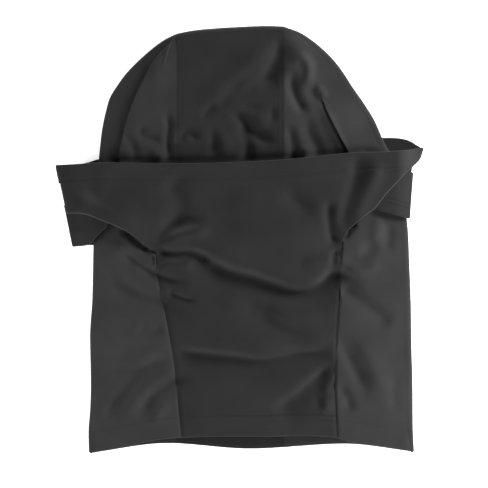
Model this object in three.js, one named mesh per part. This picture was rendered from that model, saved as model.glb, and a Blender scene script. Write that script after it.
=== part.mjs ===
// A balaclava of light knitted cloth, laid flat on its back with its face side up.
//
// The hood and the neck are one flattened tube: two side panels, a crown panel that runs from the
// forehead over the top and down the back, and a front neck panel between two long seams. A mask
// goes right round the outside of the tube as a loose ring, and is pulled down to uncover the face.
// Units are millimetres. +X is to the right of the laid garment, +Y towards its crown and +Z up. The
// origin is on the surface that it lies on, at the middle of its outline.
import * as THREE from "three";

// Overall sizes that drive the rest
const LENGTH = 350; // crown to neck hem
const WIDTH = 300; // across the ears of the mask
const TUBE_HEIGHT = 14; // outside height of the flattened tube
const CLOTH = 1.2; // thickness of one layer of cloth, with its loft
const HEM_DEPTH = 14; // how far the neck hem and the mask's top hem are turned up
const MASK_TRAVEL = 50; // how far the mask is pulled down

// Sewing
const PLY_GAP = 0.3; // air between two plies
const STITCH_GAP = 0.5; // air between cloth and the thread that lies on it
const SEAM_GAP = 0.6; // between the edges of two panels that a flat seam joins
const THREAD = 0.5; // thickness of a row of stitches
const LOWER_HEM_DEPTH = 11; // how far the mask's lower edge is turned up
const COVERSTITCH_WIDTH = 5; // across the two needle rows of a hem
const FLATLOCK_WIDTH = 6; // across the stitches of a flat seam
const BARTACK = { length: 9, width: 2.4, height: 0.7 };
const TWO_PLY = 2 * CLOTH + PLY_GAP;

// Places on the garment, as shares of its length up from the hem and of half its width
const along = (share) => (share - 0.5) * LENGTH;
const across = (share) => (share * WIDTH) / 2;
const place = ([up, out]) => [along(up), across(out)];

const NECK_Y = along(0);
const CROWN_Y = along(1);
const CROWN_SEAM = { left: across(-0.347), right: across(0.233) };
const FRONT_SEAM_FOOT = { left: across(-0.313), right: across(0.513) };
const HINGE = { left: across(-0.467), right: across(0.547), y: along(0.477) }; // tops of the front seams

// Face opening: the upper half of an ellipse between the two hinge points
const FACE = {
  x: (HINGE.left + HINGE.right) / 2,
  halfWidth: (HINGE.right - HINGE.left) / 2,
  rise: LENGTH / 7,
};
const BINDING = { width: 9, height: 3.4, cloth: 0.8, end: 0.05 }; // end is the angle left open
const ELASTIC = { width: 6, thickness: 0.9, end: 0.06 };

// Outline of the flattened tube, as x at y. It narrows from the neck hem to the crown.
const OUTLINE = {
  left: curveThrough(
    [
      [0, -0.82],
      [0.24, -0.823],
      [0.5, -0.807],
      [0.71, -0.773],
      [0.81, -0.733],
      [0.91, -0.56],
      [0.98, -0.353],
    ].map(place),
  ),
  right: curveThrough(
    [
      [0, 0.947],
      [0.26, 0.933],
      [0.36, 0.9],
      [0.56, 0.893],
      [0.69, 0.807],
      [0.77, 0.733],
      [0.86, 0.613],
      [0.93, 0.487],
      [0.985, 0.313],
      [0.997, 0.24],
    ].map(place),
  ),
};
const CROWN_EDGE = curveThrough([
  [CROWN_SEAM.left, along(0.982)],
  [across(-0.21), along(0.991)],
  [across(0.03), along(1)],
  [CROWN_SEAM.right, along(0.997)],
]);
const HEM_RISE = { front: 11, back: 4, reach: 60 }; // the middle of the neck hem curves up this much

// Mask ring: the corners of its two ears as [x, y]
const EAR_TIP = { left: [across(-1), along(0.674)], right: [across(1), along(0.714)] };
const EAR_FOOT = { left: [across(-0.907), along(0.483)], right: [across(0.94), along(0.546)] };
const MASK_SWAG = 0.11 * LENGTH; // how far the middle of the mask hangs below its hinge points
const MASK_BACK_RISE = 11; // the back of the ring lies this much nearer the crown
const MASK_EDGE_SHARE = 0.004; // share of the ring's width at each edge left for its side seam
const LIFT = TWO_PLY + STITCH_GAP + THREAD + PLY_GAP; // the tube rides this much over the ring's back
const LIFT_RAMP = 40;
const MASK_HEIGHT = LIFT + TUBE_HEIGHT + STITCH_GAP + BARTACK.height + PLY_GAP + TWO_PLY;
const MASK_LOW = EAR_FOOT.left[1] - MASK_TRAVEL;
const MASK_HIGH = EAR_TIP.right[1] + MASK_BACK_RISE;

const KNIT = { color: 0x37373a, roughness: 0.85, metalness: 0 };
const TAPE = { color: 0x2c2c2f, roughness: 0.8, metalness: 0 };
const RUBBER = { color: 0x1d1d1f, roughness: 0.7, metalness: 0 };
const STITCH = { color: 0x262629, roughness: 0.6, metalness: 0 };

// Where a sheet lies against the skin of the cloth that it belongs to
const INSIDE = { proud: -CLOTH - PLY_GAP };
const ON_SKIN = { thickness: THREAD, proud: STITCH_GAP + THREAD };
const UNDER_CLOTH = { thickness: THREAD, proud: -CLOTH - STITCH_GAP };
const UNDER_HEM = { thickness: THREAD, proud: -TWO_PLY - STITCH_GAP };

const SIDES = [
  { word: "left", out: -1 },
  { word: "right", out: 1 },
];
const { clamp, lerp, smoothstep } = THREE.MathUtils;
const balaclava = new THREE.Group();

// A smooth function through [t, value] points in rising order of t.
function curveThrough(points) {
  const slope = (i) => {
    const before = points[Math.max(i - 1, 0)];
    const after = points[Math.min(i + 1, points.length - 1)];
    return (after[1] - before[1]) / (after[0] - before[0]);
  };
  return (t) => {
    const next = points.findIndex((point) => point[0] > t);
    const i = (next < 0 ? points.length - 1 : Math.max(next, 1)) - 1;
    const [[start, a], [end, b]] = [points[i], points[i + 1]];
    const span = end - start;
    const s = THREE.MathUtils.clamp((t - start) / span, 0, 1);
    const fromSlopes = slope(i) * (1 - s) - slope(i + 1) * s;
    return lerpSmooth(a, b, s) + span * s * (1 - s) * fromSlopes;
  };
}

function lerpSmooth(a, b, s) {
  return a + (b - a) * s * s * (3 - 2 * s);
}

// The point at share s of the way round a folded edge. The path starts on the upper layer at
// "front", turns round the edge with the given radius and ends on the lower layer at "back". Bends
// get more of the share than flats, so that they are finely divided. "along" is measured across the
// fold and "up" from the lower layer.
function roundEdge(front, edge, back, radius, s) {
  const out = Math.sign(edge - back);
  const turn = (from) => Math.acos(1 - Math.min(Math.abs(edge - from) / radius, 1));
  const flat = (from) => Math.max(Math.abs(edge - from) - radius, 0);
  const [start, end] = [turn(front), -turn(back)];
  const bend = 3 * radius * (start - end);
  const run = s * (flat(front) + bend + flat(back));
  if (run < flat(front)) return { along: front + out * run, up: 2 * radius };
  const bent = run - flat(front);
  if (bent < bend) {
    const angle = lerp(start, end, bent / bend);
    return {
      along: edge + out * radius * (Math.cos(angle) - 1),
      up: radius * (1 + Math.sin(angle)),
    };
  }
  return { along: edge - out * (radius + bent - bend), up: 0 };
}

// Lays a point of the plain tube over the back of the mask ring, and curves its neck hem.
function drape(x, y, z) {
  const rampUp = smoothstep(y, MASK_LOW - LIFT_RAMP, MASK_LOW);
  const rampDown = smoothstep(y, MASK_HIGH, MASK_HIGH + LIFT_RAMP);
  const [left, right] = [OUTLINE.left(NECK_Y), OUTLINE.right(NECK_Y)];
  const offCentre = Math.abs((2 * x - left - right) / (right - left));
  const layer = clamp(z / TUBE_HEIGHT, 0, 1);
  const rise = lerp(HEM_RISE.back, HEM_RISE.front, layer) * (1 - offCentre ** 3);
  const fade = 1 - smoothstep(y, NECK_Y, NECK_Y + HEM_RISE.reach);
  return new THREE.Vector3(x, y + rise * fade, z + LIFT * (rampUp - rampDown));
}

// The front edge of a side panel at height y: the front seam, then the face opening, then the crown
// seam.
function sideFrontEdge({ word, out }, y) {
  if (y < HINGE.y) return lerp(FRONT_SEAM_FOOT[word], HINGE[word], (y - NECK_Y) / (HINGE.y - NECK_Y));
  const up = clamp((y - HINGE.y) / FACE.rise, 0, 1);
  const opening = FACE.x + out * FACE.halfWidth * Math.sqrt(1 - up * up);
  return out * Math.max(out * opening, out * CROWN_SEAM[word]);
}

// Where the crown panel starts to turn over, beside a crown seam
function crownTurnY({ word }) {
  return CROWN_EDGE(CROWN_SEAM[word]) - TUBE_HEIGHT / 2;
}

function browLine(x) {
  return HINGE.y + FACE.rise * Math.sqrt(1 - ((x - FACE.x) / FACE.halfWidth) ** 2);
}

// Each surface below maps (u, v) to the outer skin of a piece, with u x v pointing out of the cloth.

// A side panel, from the front seam round the edge of the tube to the back.
function sideSurface(side, low, high, backShare = 1) {
  const clearance = (side.out * SEAM_GAP) / 2;
  const back = CROWN_SEAM[side.word] + clearance;
  return (u, v) => {
    const y = lerp(low, high, v);
    const front = sideFrontEdge(side, y) + clearance;
    const share = backShare * (side.out < 0 ? 1 - u : u);
    const turn = roundEdge(front, OUTLINE[side.word](y), back, TUBE_HEIGHT / 2, share);
    return drape(turn.along, y, turn.up);
  };
}

// From a line near the brow, over the crown and down the back to a line near the neck.
function crownSurface(left, right, start, end) {
  return (u, v) => {
    const x = lerp(left, right, u);
    const path = roundEdge(start(x), CROWN_EDGE(x), end, TUBE_HEIGHT / 2, v);
    return drape(x, path.along, path.up);
  };
}

function neckFrontSurface(low, high) {
  return (u, v) => {
    const y = lerp(low, high, v);
    const [left, right] = SIDES.map((side) => sideFrontEdge(side, y) - (side.out * SEAM_GAP) / 2);
    return drape(lerp(left, right, u), y, TUBE_HEIGHT);
  };
}

function neckBackSurface(low, high) {
  const [left, right] = SIDES.map(({ word, out }) => CROWN_SEAM[word] - (out * SEAM_GAP) / 2);
  return (u, v) => drape(lerp(right, left, u), lerp(low, high, v), 0);
}

// Edges of the mask ring, as y at x
function maskTopFront(x) {
  const share = clamp((x - FACE.x) / (EAR_TIP.right[0] - FACE.x), 0, 1);
  return lerp(EAR_TIP.left[1], EAR_TIP.right[1], share ** 1.4);
}

function maskTopBack(x) {
  const share = clamp((x - EAR_TIP.left[0]) / (EAR_TIP.right[0] - EAR_TIP.left[0]), 0, 1);
  const bulge = MASK_BACK_RISE * (1 - (2 * share - 1) ** 6);
  return lerp(EAR_TIP.left[1], EAR_TIP.right[1], share) + bulge;
}

function maskFootBack(x) {
  const share = (x - EAR_FOOT.left[0]) / (EAR_FOOT.right[0] - EAR_FOOT.left[0]);
  return lerp(EAR_FOOT.left[1], EAR_FOOT.right[1], clamp(share, 0, 1));
}

function maskFootFront(x) {
  const share = clamp((x - HINGE.left) / (HINGE.right - HINGE.left), 0, 1);
  return maskFootBack(x) - MASK_SWAG * Math.sin(Math.PI * share) ** 1.5;
}

function earEdge(word, y) {
  const [[tipX, tipY], [footX, footY]] = [EAR_TIP[word], EAR_FOOT[word]];
  return lerp(footX, tipX, clamp((y - footY) / (tipY - footY), 0, 1));
}

function shifted(edge, up) {
  return (x) => edge(x) + up;
}

// One half of the mask ring between two lines of y at x, and between two shares of its width. layer
// is 1 for the half that lies on top and -1 for the half below. The edges of the ring slant, so the
// place of each point is found by steps.
function maskSurface(layer, foot, top, from = MASK_EDGE_SHARE, to = 1 - MASK_EDGE_SHARE) {
  const radius = MASK_HEIGHT / 2;
  return (u, v) => {
    const share = layer > 0 ? lerp(from, to, u) : lerp(to, from, u);
    let x = 0;
    let up = 0;
    let y = lerp(foot(0), top(0), v);
    for (let step = 0; step < 8; step++) {
      const [left, right] = [earEdge("left", y), earEdge("right", y)];
      const middle = (left + right) / 2;
      const edge = share < 0.5 ? left : right;
      ({ along: x, up } = roundEdge(middle, edge, middle, radius, Math.abs(share - 0.5)));
      y = lerp(foot(x), top(x), v);
    }
    return new THREE.Vector3(x, y, radius + layer * (up - radius));
  };
}

// The share of the ring's width at which a hinge point lies
function maskShareAt(x) {
  const radius = MASK_HEIGHT / 2;
  const [left, right] = [earEdge("left", HINGE.y), earEdge("right", HINGE.y)];
  return 0.5 + (x - (left + right) / 2) / (right - left - 2 * radius + 3 * Math.PI * radius);
}

// A point on the rim of the face opening, at an angle round it and a distance inward.
function rimPoint(angle, inward, height) {
  const x = FACE.x - (FACE.halfWidth - inward) * Math.cos(angle);
  const y = HINGE.y + (FACE.rise - inward) * Math.sin(angle);
  return drape(x, y, TUBE_HEIGHT + height);
}

// Cloth folded round the elastic. u runs round the fold.
function bindingSurface(u, v) {
  const fold = roundEdge(SEAM_GAP, BINDING.width, SEAM_GAP, BINDING.height / 2, u);
  const angle = lerp(BINDING.end, Math.PI - BINDING.end, v);
  return rimPoint(angle, fold.along, fold.up - BINDING.height);
}

function elasticSurface(u, v) {
  const outer = BINDING.width - BINDING.cloth - PLY_GAP;
  const angle = lerp(ELASTIC.end, Math.PI - ELASTIC.end, v);
  return rimPoint(angle, outer - (1 - u) * ELASTIC.width, (ELASTIC.thickness - BINDING.height) / 2);
}

// A band of even width centred on a line of the upper skin.
function bandAlong(line, width) {
  const step = 1e-3;
  return (u, v) => {
    const [before, after] = [line(Math.max(v - step, 0)), line(Math.min(v + step, 1))];
    const sideways = new THREE.Vector3(after.y - before.y, before.x - after.x, 0).normalize();
    return line(v).addScaledVector(sideways, (u - 0.5) * width);
  };
}

// A sheet of cloth or thread as a closed solid. proud is how far its outer face stands out of the
// surface's skin, and a negative value sets it inside.
function sheet(surface, columns, rows, { thickness = CLOTH, proud = 0 } = {}) {
  const geometry = new THREE.BoxGeometry(1, 1, 1, columns, rows, 1);
  const position = geometry.getAttribute("position");
  const step = 1e-3;
  for (let i = 0; i < position.count; i++) {
    const [u, v] = [position.getX(i) + 0.5, position.getY(i) + 0.5];
    const alongU = surface(Math.min(u + step, 1), v).sub(surface(Math.max(u - step, 0), v));
    const alongV = surface(u, Math.min(v + step, 1)).sub(surface(u, Math.max(v - step, 0)));
    const normal = alongU.cross(alongV).normalize();
    const depth = proud - thickness * (0.5 - position.getZ(i));
    const point = surface(u, v).addScaledVector(normal, depth);
    position.setXYZ(i, point.x, point.y, point.z);
  }
  geometry.computeVertexNormals();
  return geometry;
}

function add(name, geometry, finish = KNIT) {
  const mesh = new THREE.Mesh(geometry, new THREE.MeshStandardMaterial(finish));
  mesh.name = name;
  balaclava.add(mesh);
  return mesh;
}

function addTube() {
  const [left, right] = SIDES.map(({ word, out }) => CROWN_SEAM[word] - (out * SEAM_GAP) / 2);
  add("crown_and_back_panel", sheet(crownSurface(left, right, browLine, NECK_Y), 8, 30));
  add("front_neck_panel", sheet(neckFrontSurface(NECK_Y, HINGE.y - SEAM_GAP), 6, 16));
  for (const side of SIDES) {
    const top = crownTurnY(side);
    add(`${side.word}_side_panel`, sheet(sideSurface(side, NECK_Y, top), 14, 32));
  }
}

function addNeckHem() {
  const top = NECK_Y + HEM_DEPTH;
  const [rowLow, rowHigh] = [top - 1 - COVERSTITCH_WIDTH, top - 1];
  add("neck_hem_front", sheet(neckFrontSurface(NECK_Y, top), 6, 2, INSIDE));
  add("neck_hem_back", sheet(neckBackSurface(NECK_Y, top), 4, 2, INSIDE));
  add("neck_coverstitch_front", sheet(neckFrontSurface(rowLow, rowHigh), 6, 1, ON_SKIN), STITCH);
  add("neck_coverstitch_back", sheet(neckBackSurface(rowLow, rowHigh), 4, 1, UNDER_HEM), STITCH);
  for (const side of SIDES) {
    const stitches = sideSurface(side, rowLow, rowHigh, 0.4);
    add(`neck_hem_${side.word}`, sheet(sideSurface(side, NECK_Y, top), 14, 2, INSIDE));
    add(`neck_coverstitch_${side.word}`, sheet(stitches, 8, 1, ON_SKIN), STITCH);
  }
}

function addCrownSeams() {
  const half = FLATLOCK_WIDTH / 2;
  for (const { word } of SIDES) {
    const seam = CROWN_SEAM[word];
    const edge = crownTurnY({ word }) - half;
    const brow = browLine(seam) + half;
    const hem = NECK_Y + HEM_DEPTH + HEM_RISE.back + 1;
    const front = (u, v) => drape(seam + (u - 0.5) * FLATLOCK_WIDTH, lerp(brow, edge, v), TUBE_HEIGHT);
    const back = (u, v) => drape(seam + (0.5 - u) * FLATLOCK_WIDTH, lerp(hem, edge, v), 0);
    add(`crown_seam_flatlock_${word}`, sheet(front, 1, 12, ON_SKIN), STITCH);
    add(`back_seam_flatlock_${word}`, sheet(back, 1, 30, UNDER_CLOTH), STITCH);
  }
}

function addFrontSeams() {
  const low = NECK_Y + HEM_DEPTH + HEM_RISE.front;
  const high = HINGE.y - BARTACK.width;
  for (const side of SIDES) {
    const line = (v) => drape(sideFrontEdge(side, lerp(low, high, v)), lerp(low, high, v), TUBE_HEIGHT);
    const stitches = sheet(bandAlong(line, FLATLOCK_WIDTH), 1, 16, ON_SKIN);
    add(`front_seam_flatlock_${side.word}`, stitches, STITCH);
    const tackShape = new THREE.BoxGeometry(BARTACK.length, BARTACK.width, BARTACK.height);
    const tack = add(`bartack_${side.word}`, tackShape, STITCH);
    tack.position.copy(drape(HINGE[side.word], HINGE.y, TUBE_HEIGHT + STITCH_GAP));
    tack.position.z += BARTACK.height / 2;
  }
}

function addFaceBinding() {
  add("face_opening_binding", sheet(bindingSurface, 10, 22, { thickness: BINDING.cloth }), TAPE);
  add("face_opening_elastic", sheet(elasticSurface, 1, 22, { thickness: ELASTIC.thickness }), RUBBER);
}

// The shares of the ring's width that its two free wings take up, outside the hinge points
function maskWings() {
  return {
    left: [MASK_EDGE_SHARE, maskShareAt(HINGE.left)],
    right: [maskShareAt(HINGE.right), 1 - MASK_EDGE_SHARE],
  };
}

function addMaskCloth() {
  const topPly = (edge) => [shifted(edge, -HEM_DEPTH), edge];
  const footPly = (edge) => [edge, shifted(edge, LOWER_HEM_DEPTH)];
  add("mask_front_panel", sheet(maskSurface(1, maskFootFront, maskTopFront), 28, 7));
  add("mask_back_band", sheet(maskSurface(-1, maskFootBack, maskTopBack), 24, 4));
  add("mask_top_hem_front", sheet(maskSurface(1, ...topPly(maskTopFront)), 24, 1, INSIDE));
  add("mask_top_hem_back", sheet(maskSurface(-1, ...topPly(maskTopBack)), 24, 1, INSIDE));
  add("mask_lower_hem_back", sheet(maskSurface(-1, ...footPly(maskFootBack)), 24, 1, INSIDE));
  for (const [word, wing] of Object.entries(maskWings()))
    add(`mask_lower_hem_${word}`, sheet(maskSurface(1, ...footPly(maskFootFront), ...wing), 10, 1, INSIDE));
}

function addMaskStitches() {
  const topRow = (edge) => [shifted(edge, 1 - HEM_DEPTH), shifted(edge, 1 - HEM_DEPTH + COVERSTITCH_WIDTH)];
  const rowTop = LOWER_HEM_DEPTH - 1;
  const footRow = [shifted(maskFootBack, rowTop - COVERSTITCH_WIDTH), shifted(maskFootBack, rowTop)];
  const addRow = (name, surface, lie) => add(`mask_${name}`, sheet(surface, 24, 1, lie), STITCH);
  addRow("top_coverstitch_front", maskSurface(1, ...topRow(maskTopFront)), ON_SKIN);
  addRow("top_coverstitch_back", maskSurface(-1, ...topRow(maskTopBack)), UNDER_HEM);
  addRow("lower_coverstitch_back", maskSurface(-1, ...footRow), UNDER_HEM);
  for (const [word, wing] of Object.entries(maskWings()))
    addRow(`lower_coverstitch_${word}`, maskSurface(1, ...footRow, ...wing), ON_SKIN);
}

addTube();
addNeckHem();
addCrownSeams();
addFrontSeams();
addFaceBinding();
addMaskCloth();
addMaskStitches();

export default balaclava;
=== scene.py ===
"""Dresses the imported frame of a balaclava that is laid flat, face side up.

The garment is made of light charcoal knit. Every cloth here is a grid that is laid on a surface
given by the distance along the cloth, with its edges really turned under and its stitches really
there. Sizes are in millimetres until a mesh is made, and +Y runs towards the crown.
"""

import logging
import math
from collections.abc import Callable, Sequence
from dataclasses import dataclass, field, replace
from enum import Enum

import bmesh
import bpy
import numpy as np
from mathutils import Matrix, Vector


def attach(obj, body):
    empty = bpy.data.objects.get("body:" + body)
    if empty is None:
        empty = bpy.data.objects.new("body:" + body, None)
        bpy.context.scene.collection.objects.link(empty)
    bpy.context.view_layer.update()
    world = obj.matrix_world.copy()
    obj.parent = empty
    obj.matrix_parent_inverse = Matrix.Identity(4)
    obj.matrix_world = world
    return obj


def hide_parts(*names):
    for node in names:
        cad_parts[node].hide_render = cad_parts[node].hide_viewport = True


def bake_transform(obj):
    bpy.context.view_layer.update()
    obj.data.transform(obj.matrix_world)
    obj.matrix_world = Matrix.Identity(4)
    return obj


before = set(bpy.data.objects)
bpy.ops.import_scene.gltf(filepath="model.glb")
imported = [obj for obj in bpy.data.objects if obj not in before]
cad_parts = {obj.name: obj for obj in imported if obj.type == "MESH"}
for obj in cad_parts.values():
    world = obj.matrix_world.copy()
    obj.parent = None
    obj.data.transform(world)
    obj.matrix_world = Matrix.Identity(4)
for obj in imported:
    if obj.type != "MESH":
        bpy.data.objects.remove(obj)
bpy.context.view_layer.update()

log = logging.getLogger("balaclava")

Array = np.ndarray
Surface = Callable[[Array, Array], tuple[Array, Array, Array]]
Points = Sequence[tuple[float, float]]
Colour = tuple[float, float, float]
Socket = bpy.types.NodeSocket

MM = 0.001
CLOTH = 0.9  # thickness of one ply of the knit
TURN = 1.1  # radius at which a hem's edge is turned
NECK_HEM = 14.0  # depth of the turned-up hems
MASK_HEM = 14.0
WING_HEM = 11.0
NEEDLES = 3.6  # between the two needle rows of a hem
THREAD_PROUD = 0.08  # how far the middle of a stitch's thread is above the cloth
FOLD_ONE = (0.30, 0.34)  # where a side panel's pleat folds, as shares of the way round the panel
FOLD_TWO = (0.40, 0.44)
ROUND = (0.58, 0.70)  # where the panel goes round the edge of the tube


class Body(str, Enum):
    """The two bodies of the frame that pieces ride on."""

    HOOD = "hood"
    MASK = "mask"


class Slot(str, Enum):
    """The record's material slots."""

    FRONT = "front_knit"
    SIDE = "side_knit"
    MASK = "mask_knit"
    BINDING = "binding_knit"
    ELASTIC = "elastic"
    THREAD = "thread"


# ---------------------------------------------------------------------------------------------
# Shape helpers
# ---------------------------------------------------------------------------------------------


def ramp(value: Array | float, low: float, high: float) -> Array:
    """Goes smoothly from 0 at low to 1 at high.

    Args:
        value: where to read the ramp.
        low: the value at which it starts.
        high: the value at which it ends.

    Returns:
        The height of the ramp at each value.
    """
    t = np.clip((np.asarray(value, float) - low) / (high - low), 0.0, 1.0)
    return t * t * (3.0 - 2.0 * t)


def mix(a: Array | float, b: Array | float, t: Array | float) -> Array:
    """Goes straight from a to b as t goes from 0 to 1."""
    return a + (b - a) * t


class Curve:
    """A smooth line through a few points, read by its first coordinate."""

    def __init__(self, points: Points) -> None:
        """Keeps the points and works out a slope that doesn't overshoot at each.

        Args:
            points: pairs of place and value, in rising order of place.
        """
        self.at = np.array([p[0] for p in points], float)
        self.value = np.array([p[1] for p in points], float)
        step = np.diff(self.value) / np.diff(self.at)
        slope = np.concatenate([[step[0]], (step[:-1] + step[1:]) / 2, [step[-1]]])
        flat = np.concatenate([[False], step[:-1] * step[1:] <= 0, [False]])
        self.slope = np.where(flat, 0.0, slope)

    def __call__(self, place: Array | float) -> Array:
        """Reads the line.

        Args:
            place: where to read it; beyond its ends it stays level.

        Returns:
            The value at each place.
        """
        x = np.clip(np.asarray(place, float), self.at[0], self.at[-1])
        i = np.clip(np.searchsorted(self.at, x, side="right") - 1, 0, len(self.at) - 2)
        span = self.at[i + 1] - self.at[i]
        t = (x - self.at[i]) / span
        rise = self.value[i + 1] - self.value[i]
        ends = span * t * (1 - t) * (self.slope[i] * (1 - t) - self.slope[i + 1] * t)
        return self.value[i] + rise * t * t * (3 - 2 * t) + ends


def smooth_path(points: Points, count: int) -> Array:
    """Puts a rounded line through a few points of the plane.

    Args:
        points: the places to pass through.
        count: how many places to return for each stretch.

    Returns:
        The places on the line, one row each.
    """
    p = np.array(points, float)
    before = np.vstack([2 * p[0] - p[1], p[:-1]])
    after = np.vstack([p[1:], 2 * p[-1] - p[-2]])
    slope = (after - before) / 2
    t = np.linspace(0, 1, count, endpoint=False)[:, None]
    line = [
        p[i] * (1 + 2 * t) * (1 - t) ** 2
        + slope[i] * t * (1 - t) ** 2
        + p[i + 1] * t * t * (3 - 2 * t)
        + slope[i + 1] * t * t * (t - 1)
        for i in range(len(p) - 1)
    ]
    return np.vstack([*line, p[-1:]])


@dataclass(frozen=True)
class Crease:
    """A ridge or a valley in laid cloth, along a rounded line.

    Attributes:
        path: the line's places, in millimetres.
        height: of the ridge, or below zero for a valley.
        width: how far it reaches on the left of the line, seen along it.
        other: how far it reaches on the right, if that differs.
        fade: share of its length over which each end dies away.
    """

    path: Points
    height: float
    width: float
    other: float = 0.0
    fade: float = 0.3

    def at(self, x: Array, y: Array) -> Array:
        """Reads the crease's height.

        Args:
            x: places across the garment.
            y: places along the garment.

        Returns:
            The height that the crease adds at each place.
        """
        line = smooth_path(self.path, 6)
        start, step = line[:-1], np.diff(line, axis=0)
        length = np.linalg.norm(step, axis=1)
        run = np.concatenate([[0.0], np.cumsum(length)])
        dx, dy = x[:, None] - start[:, 0], y[:, None] - start[:, 1]
        t = np.clip((dx * step[:, 0] + dy * step[:, 1]) / length**2, 0, 1)
        away = np.hypot(dx - t * step[:, 0], dy - t * step[:, 1])
        nearest = np.argmin(away, axis=1)
        row = np.arange(len(x))
        near, share = away[row, nearest], t[row, nearest]
        cross = step[nearest, 0] * dy[row, nearest] - step[nearest, 1] * dx[row, nearest]
        reach = np.where(cross > 0, self.width, self.other or self.width)
        along = (run[nearest] + share * length[nearest]) / run[-1]
        ends = ramp(along, 0, self.fade) * (1 - ramp(along, 1 - self.fade, 1))
        return self.height * ends * np.exp(-((near / reach) ** 2))


@dataclass(frozen=True)
class Relief:
    """All the creases of one stretch of cloth, and the slight unevenness of cloth by hand laid."""

    creases: tuple[Crease, ...] = ()
    uneven: float = 0.5
    strength: float = 1.22

    def at(self, x: Array, y: Array) -> Array:
        """Adds up the creases.

        Args:
            x: places across the garment.
            y: places along the garment.

        Returns:
            The height of the cloth above its plain lie at each place.
        """
        x, y = np.broadcast_arrays(np.asarray(x, float), np.asarray(y, float))
        flat_x, flat_y = x.ravel(), y.ravel()
        height = np.zeros(len(flat_x))
        for crease in self.creases:
            height += self.strength * crease.at(flat_x, flat_y)
        wave = np.sin(flat_x / 13.0 + 1.7 * np.sin(flat_y / 29.0)) * np.sin(flat_y / 17.0 + 0.6)
        slow = np.sin(flat_x / 31.0 + flat_y / 23.0 + 2.0) * np.sin(flat_y / 37.0 - flat_x / 53.0)
        return (height + self.uneven * (wave + 1.3 * slow)).reshape(x.shape)


def turned(distance: Array, radius: Array | float) -> tuple[Array, Array]:
    """Turns cloth under at an edge.

    Args:
        distance: along the cloth from its turned edge, below zero on the ply underneath.
        radius: of the turn.

    Returns:
        How far each place is from the edge, and how deep it lies under the outer face.
    """
    safe = np.maximum(radius, 1e-6)
    angle = (1 - np.clip(distance / safe, -1, 1)) * math.pi / 2
    bent = radius * (1 - np.sin(angle))
    away = np.where(np.abs(distance) < radius, bent, np.abs(distance))
    return away, radius * (1 - np.cos(angle))


def spread(*stretches: tuple[float, float, int]) -> Array:
    """Lists places along a cloth, finer where a stretch asks for it.

    Args:
        stretches: each has its start, its end and how many steps it takes.

    Returns:
        The places in order, with no place twice.
    """
    parts = [np.linspace(a, b, n, endpoint=False) for a, b, n in stretches]
    return np.concatenate([*parts, [stretches[-1][1]]])


def hem_step(distance: Array, row: float) -> Array:
    """Raises a hem's double ply above the single cloth, with a dent along each row of stitches.

    Args:
        distance: from the hem's edge.
        row: from the edge to the first of the two rows.

    Returns:
        The height that the hem adds at each place.
    """
    dents = sum(np.exp(-(((distance - row - k * NEEDLES) / 0.9) ** 2)) for k in (0, 1))
    return 0.8 * (1 - ramp(distance, row + NEEDLES, row + NEEDLES + 2.0)) - 0.6 * dents


def cloth_normals(surface: Surface, u: Array, v: Array) -> Array:
    """Finds which way a surface faces.

    Args:
        surface: maps (u, v) to a place.
        u: first coordinate.
        v: second coordinate.

    Returns:
        Unit normals along the last axis.
    """
    step = 1e-3
    along_u = np.stack(surface(u + step, v), -1) - np.stack(surface(u - step, v), -1)
    along_v = np.stack(surface(u, v + step), -1) - np.stack(surface(u, v - step), -1)
    normal = np.cross(along_u, along_v)
    return normal / np.maximum(np.linalg.norm(normal, axis=-1, keepdims=True), 1e-12)


def along_path(points: Points, share: Array) -> Array:
    """Finds places on a rounded line by share of its length.

    Args:
        points: the places that the line goes through.
        share: of the line's length.

    Returns:
        The x and y of each place, along the last axis.
    """
    line = smooth_path(points, 12)
    run = np.concatenate([[0.0], np.cumsum(np.hypot(*np.diff(line, axis=0).T))])
    at = np.clip(share, 0, 1) * run[-1]
    return np.stack([np.interp(at, run, line[:, 0]), np.interp(at, run, line[:, 1])], -1)


def on_surface(surface: Surface, u: Array, v: Array, proud: float, outward: int = 1) -> Array:
    """Traces a line on a cloth, for stitches.

    Args:
        surface: the cloth's outer face.
        u: first coordinate of each place.
        v: second coordinate of each place.
        proud: how far the line lies above the face.
        outward: -1 where the surface's own normal looks into the garment.

    Returns:
        Places and normals side by side, six numbers to a row.
    """
    u, v = np.atleast_2d(u), np.atleast_2d(v)
    normal = cloth_normals(surface, u, v) * outward
    places = np.stack(surface(u, v), -1) + normal * proud
    return np.concatenate([places, normal], -1)[0]


# ---------------------------------------------------------------------------------------------
# Making meshes
# ---------------------------------------------------------------------------------------------


@dataclass
class Patch:
    """One grid of cloth: its places, and where each place is on the cut cloth."""

    places: Array  # rows x columns x 3, in millimetres
    weave: Array  # rows x columns x 2, in millimetres along the wales and courses


def woven(places: Array, wrap: int | None = None) -> Patch:
    """Works out where each place of a grid is on the cut cloth.

    Args:
        places: rows x columns x 3.
        wrap: the axis along which the cloth bends out of the flat, if it does.

    Returns:
        The cloth.
    """
    weave = places[..., :2].copy()
    if wrap is not None:
        run = np.cumsum(np.linalg.norm(np.diff(places, axis=wrap), axis=-1), axis=wrap)
        if wrap == 1:
            weave[:, 1:, 0] = weave[:, :1, 0] + run
        else:
            weave[1:, :, 1] = weave[:1, :, 1] + run
    return Patch(places, weave)


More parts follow.
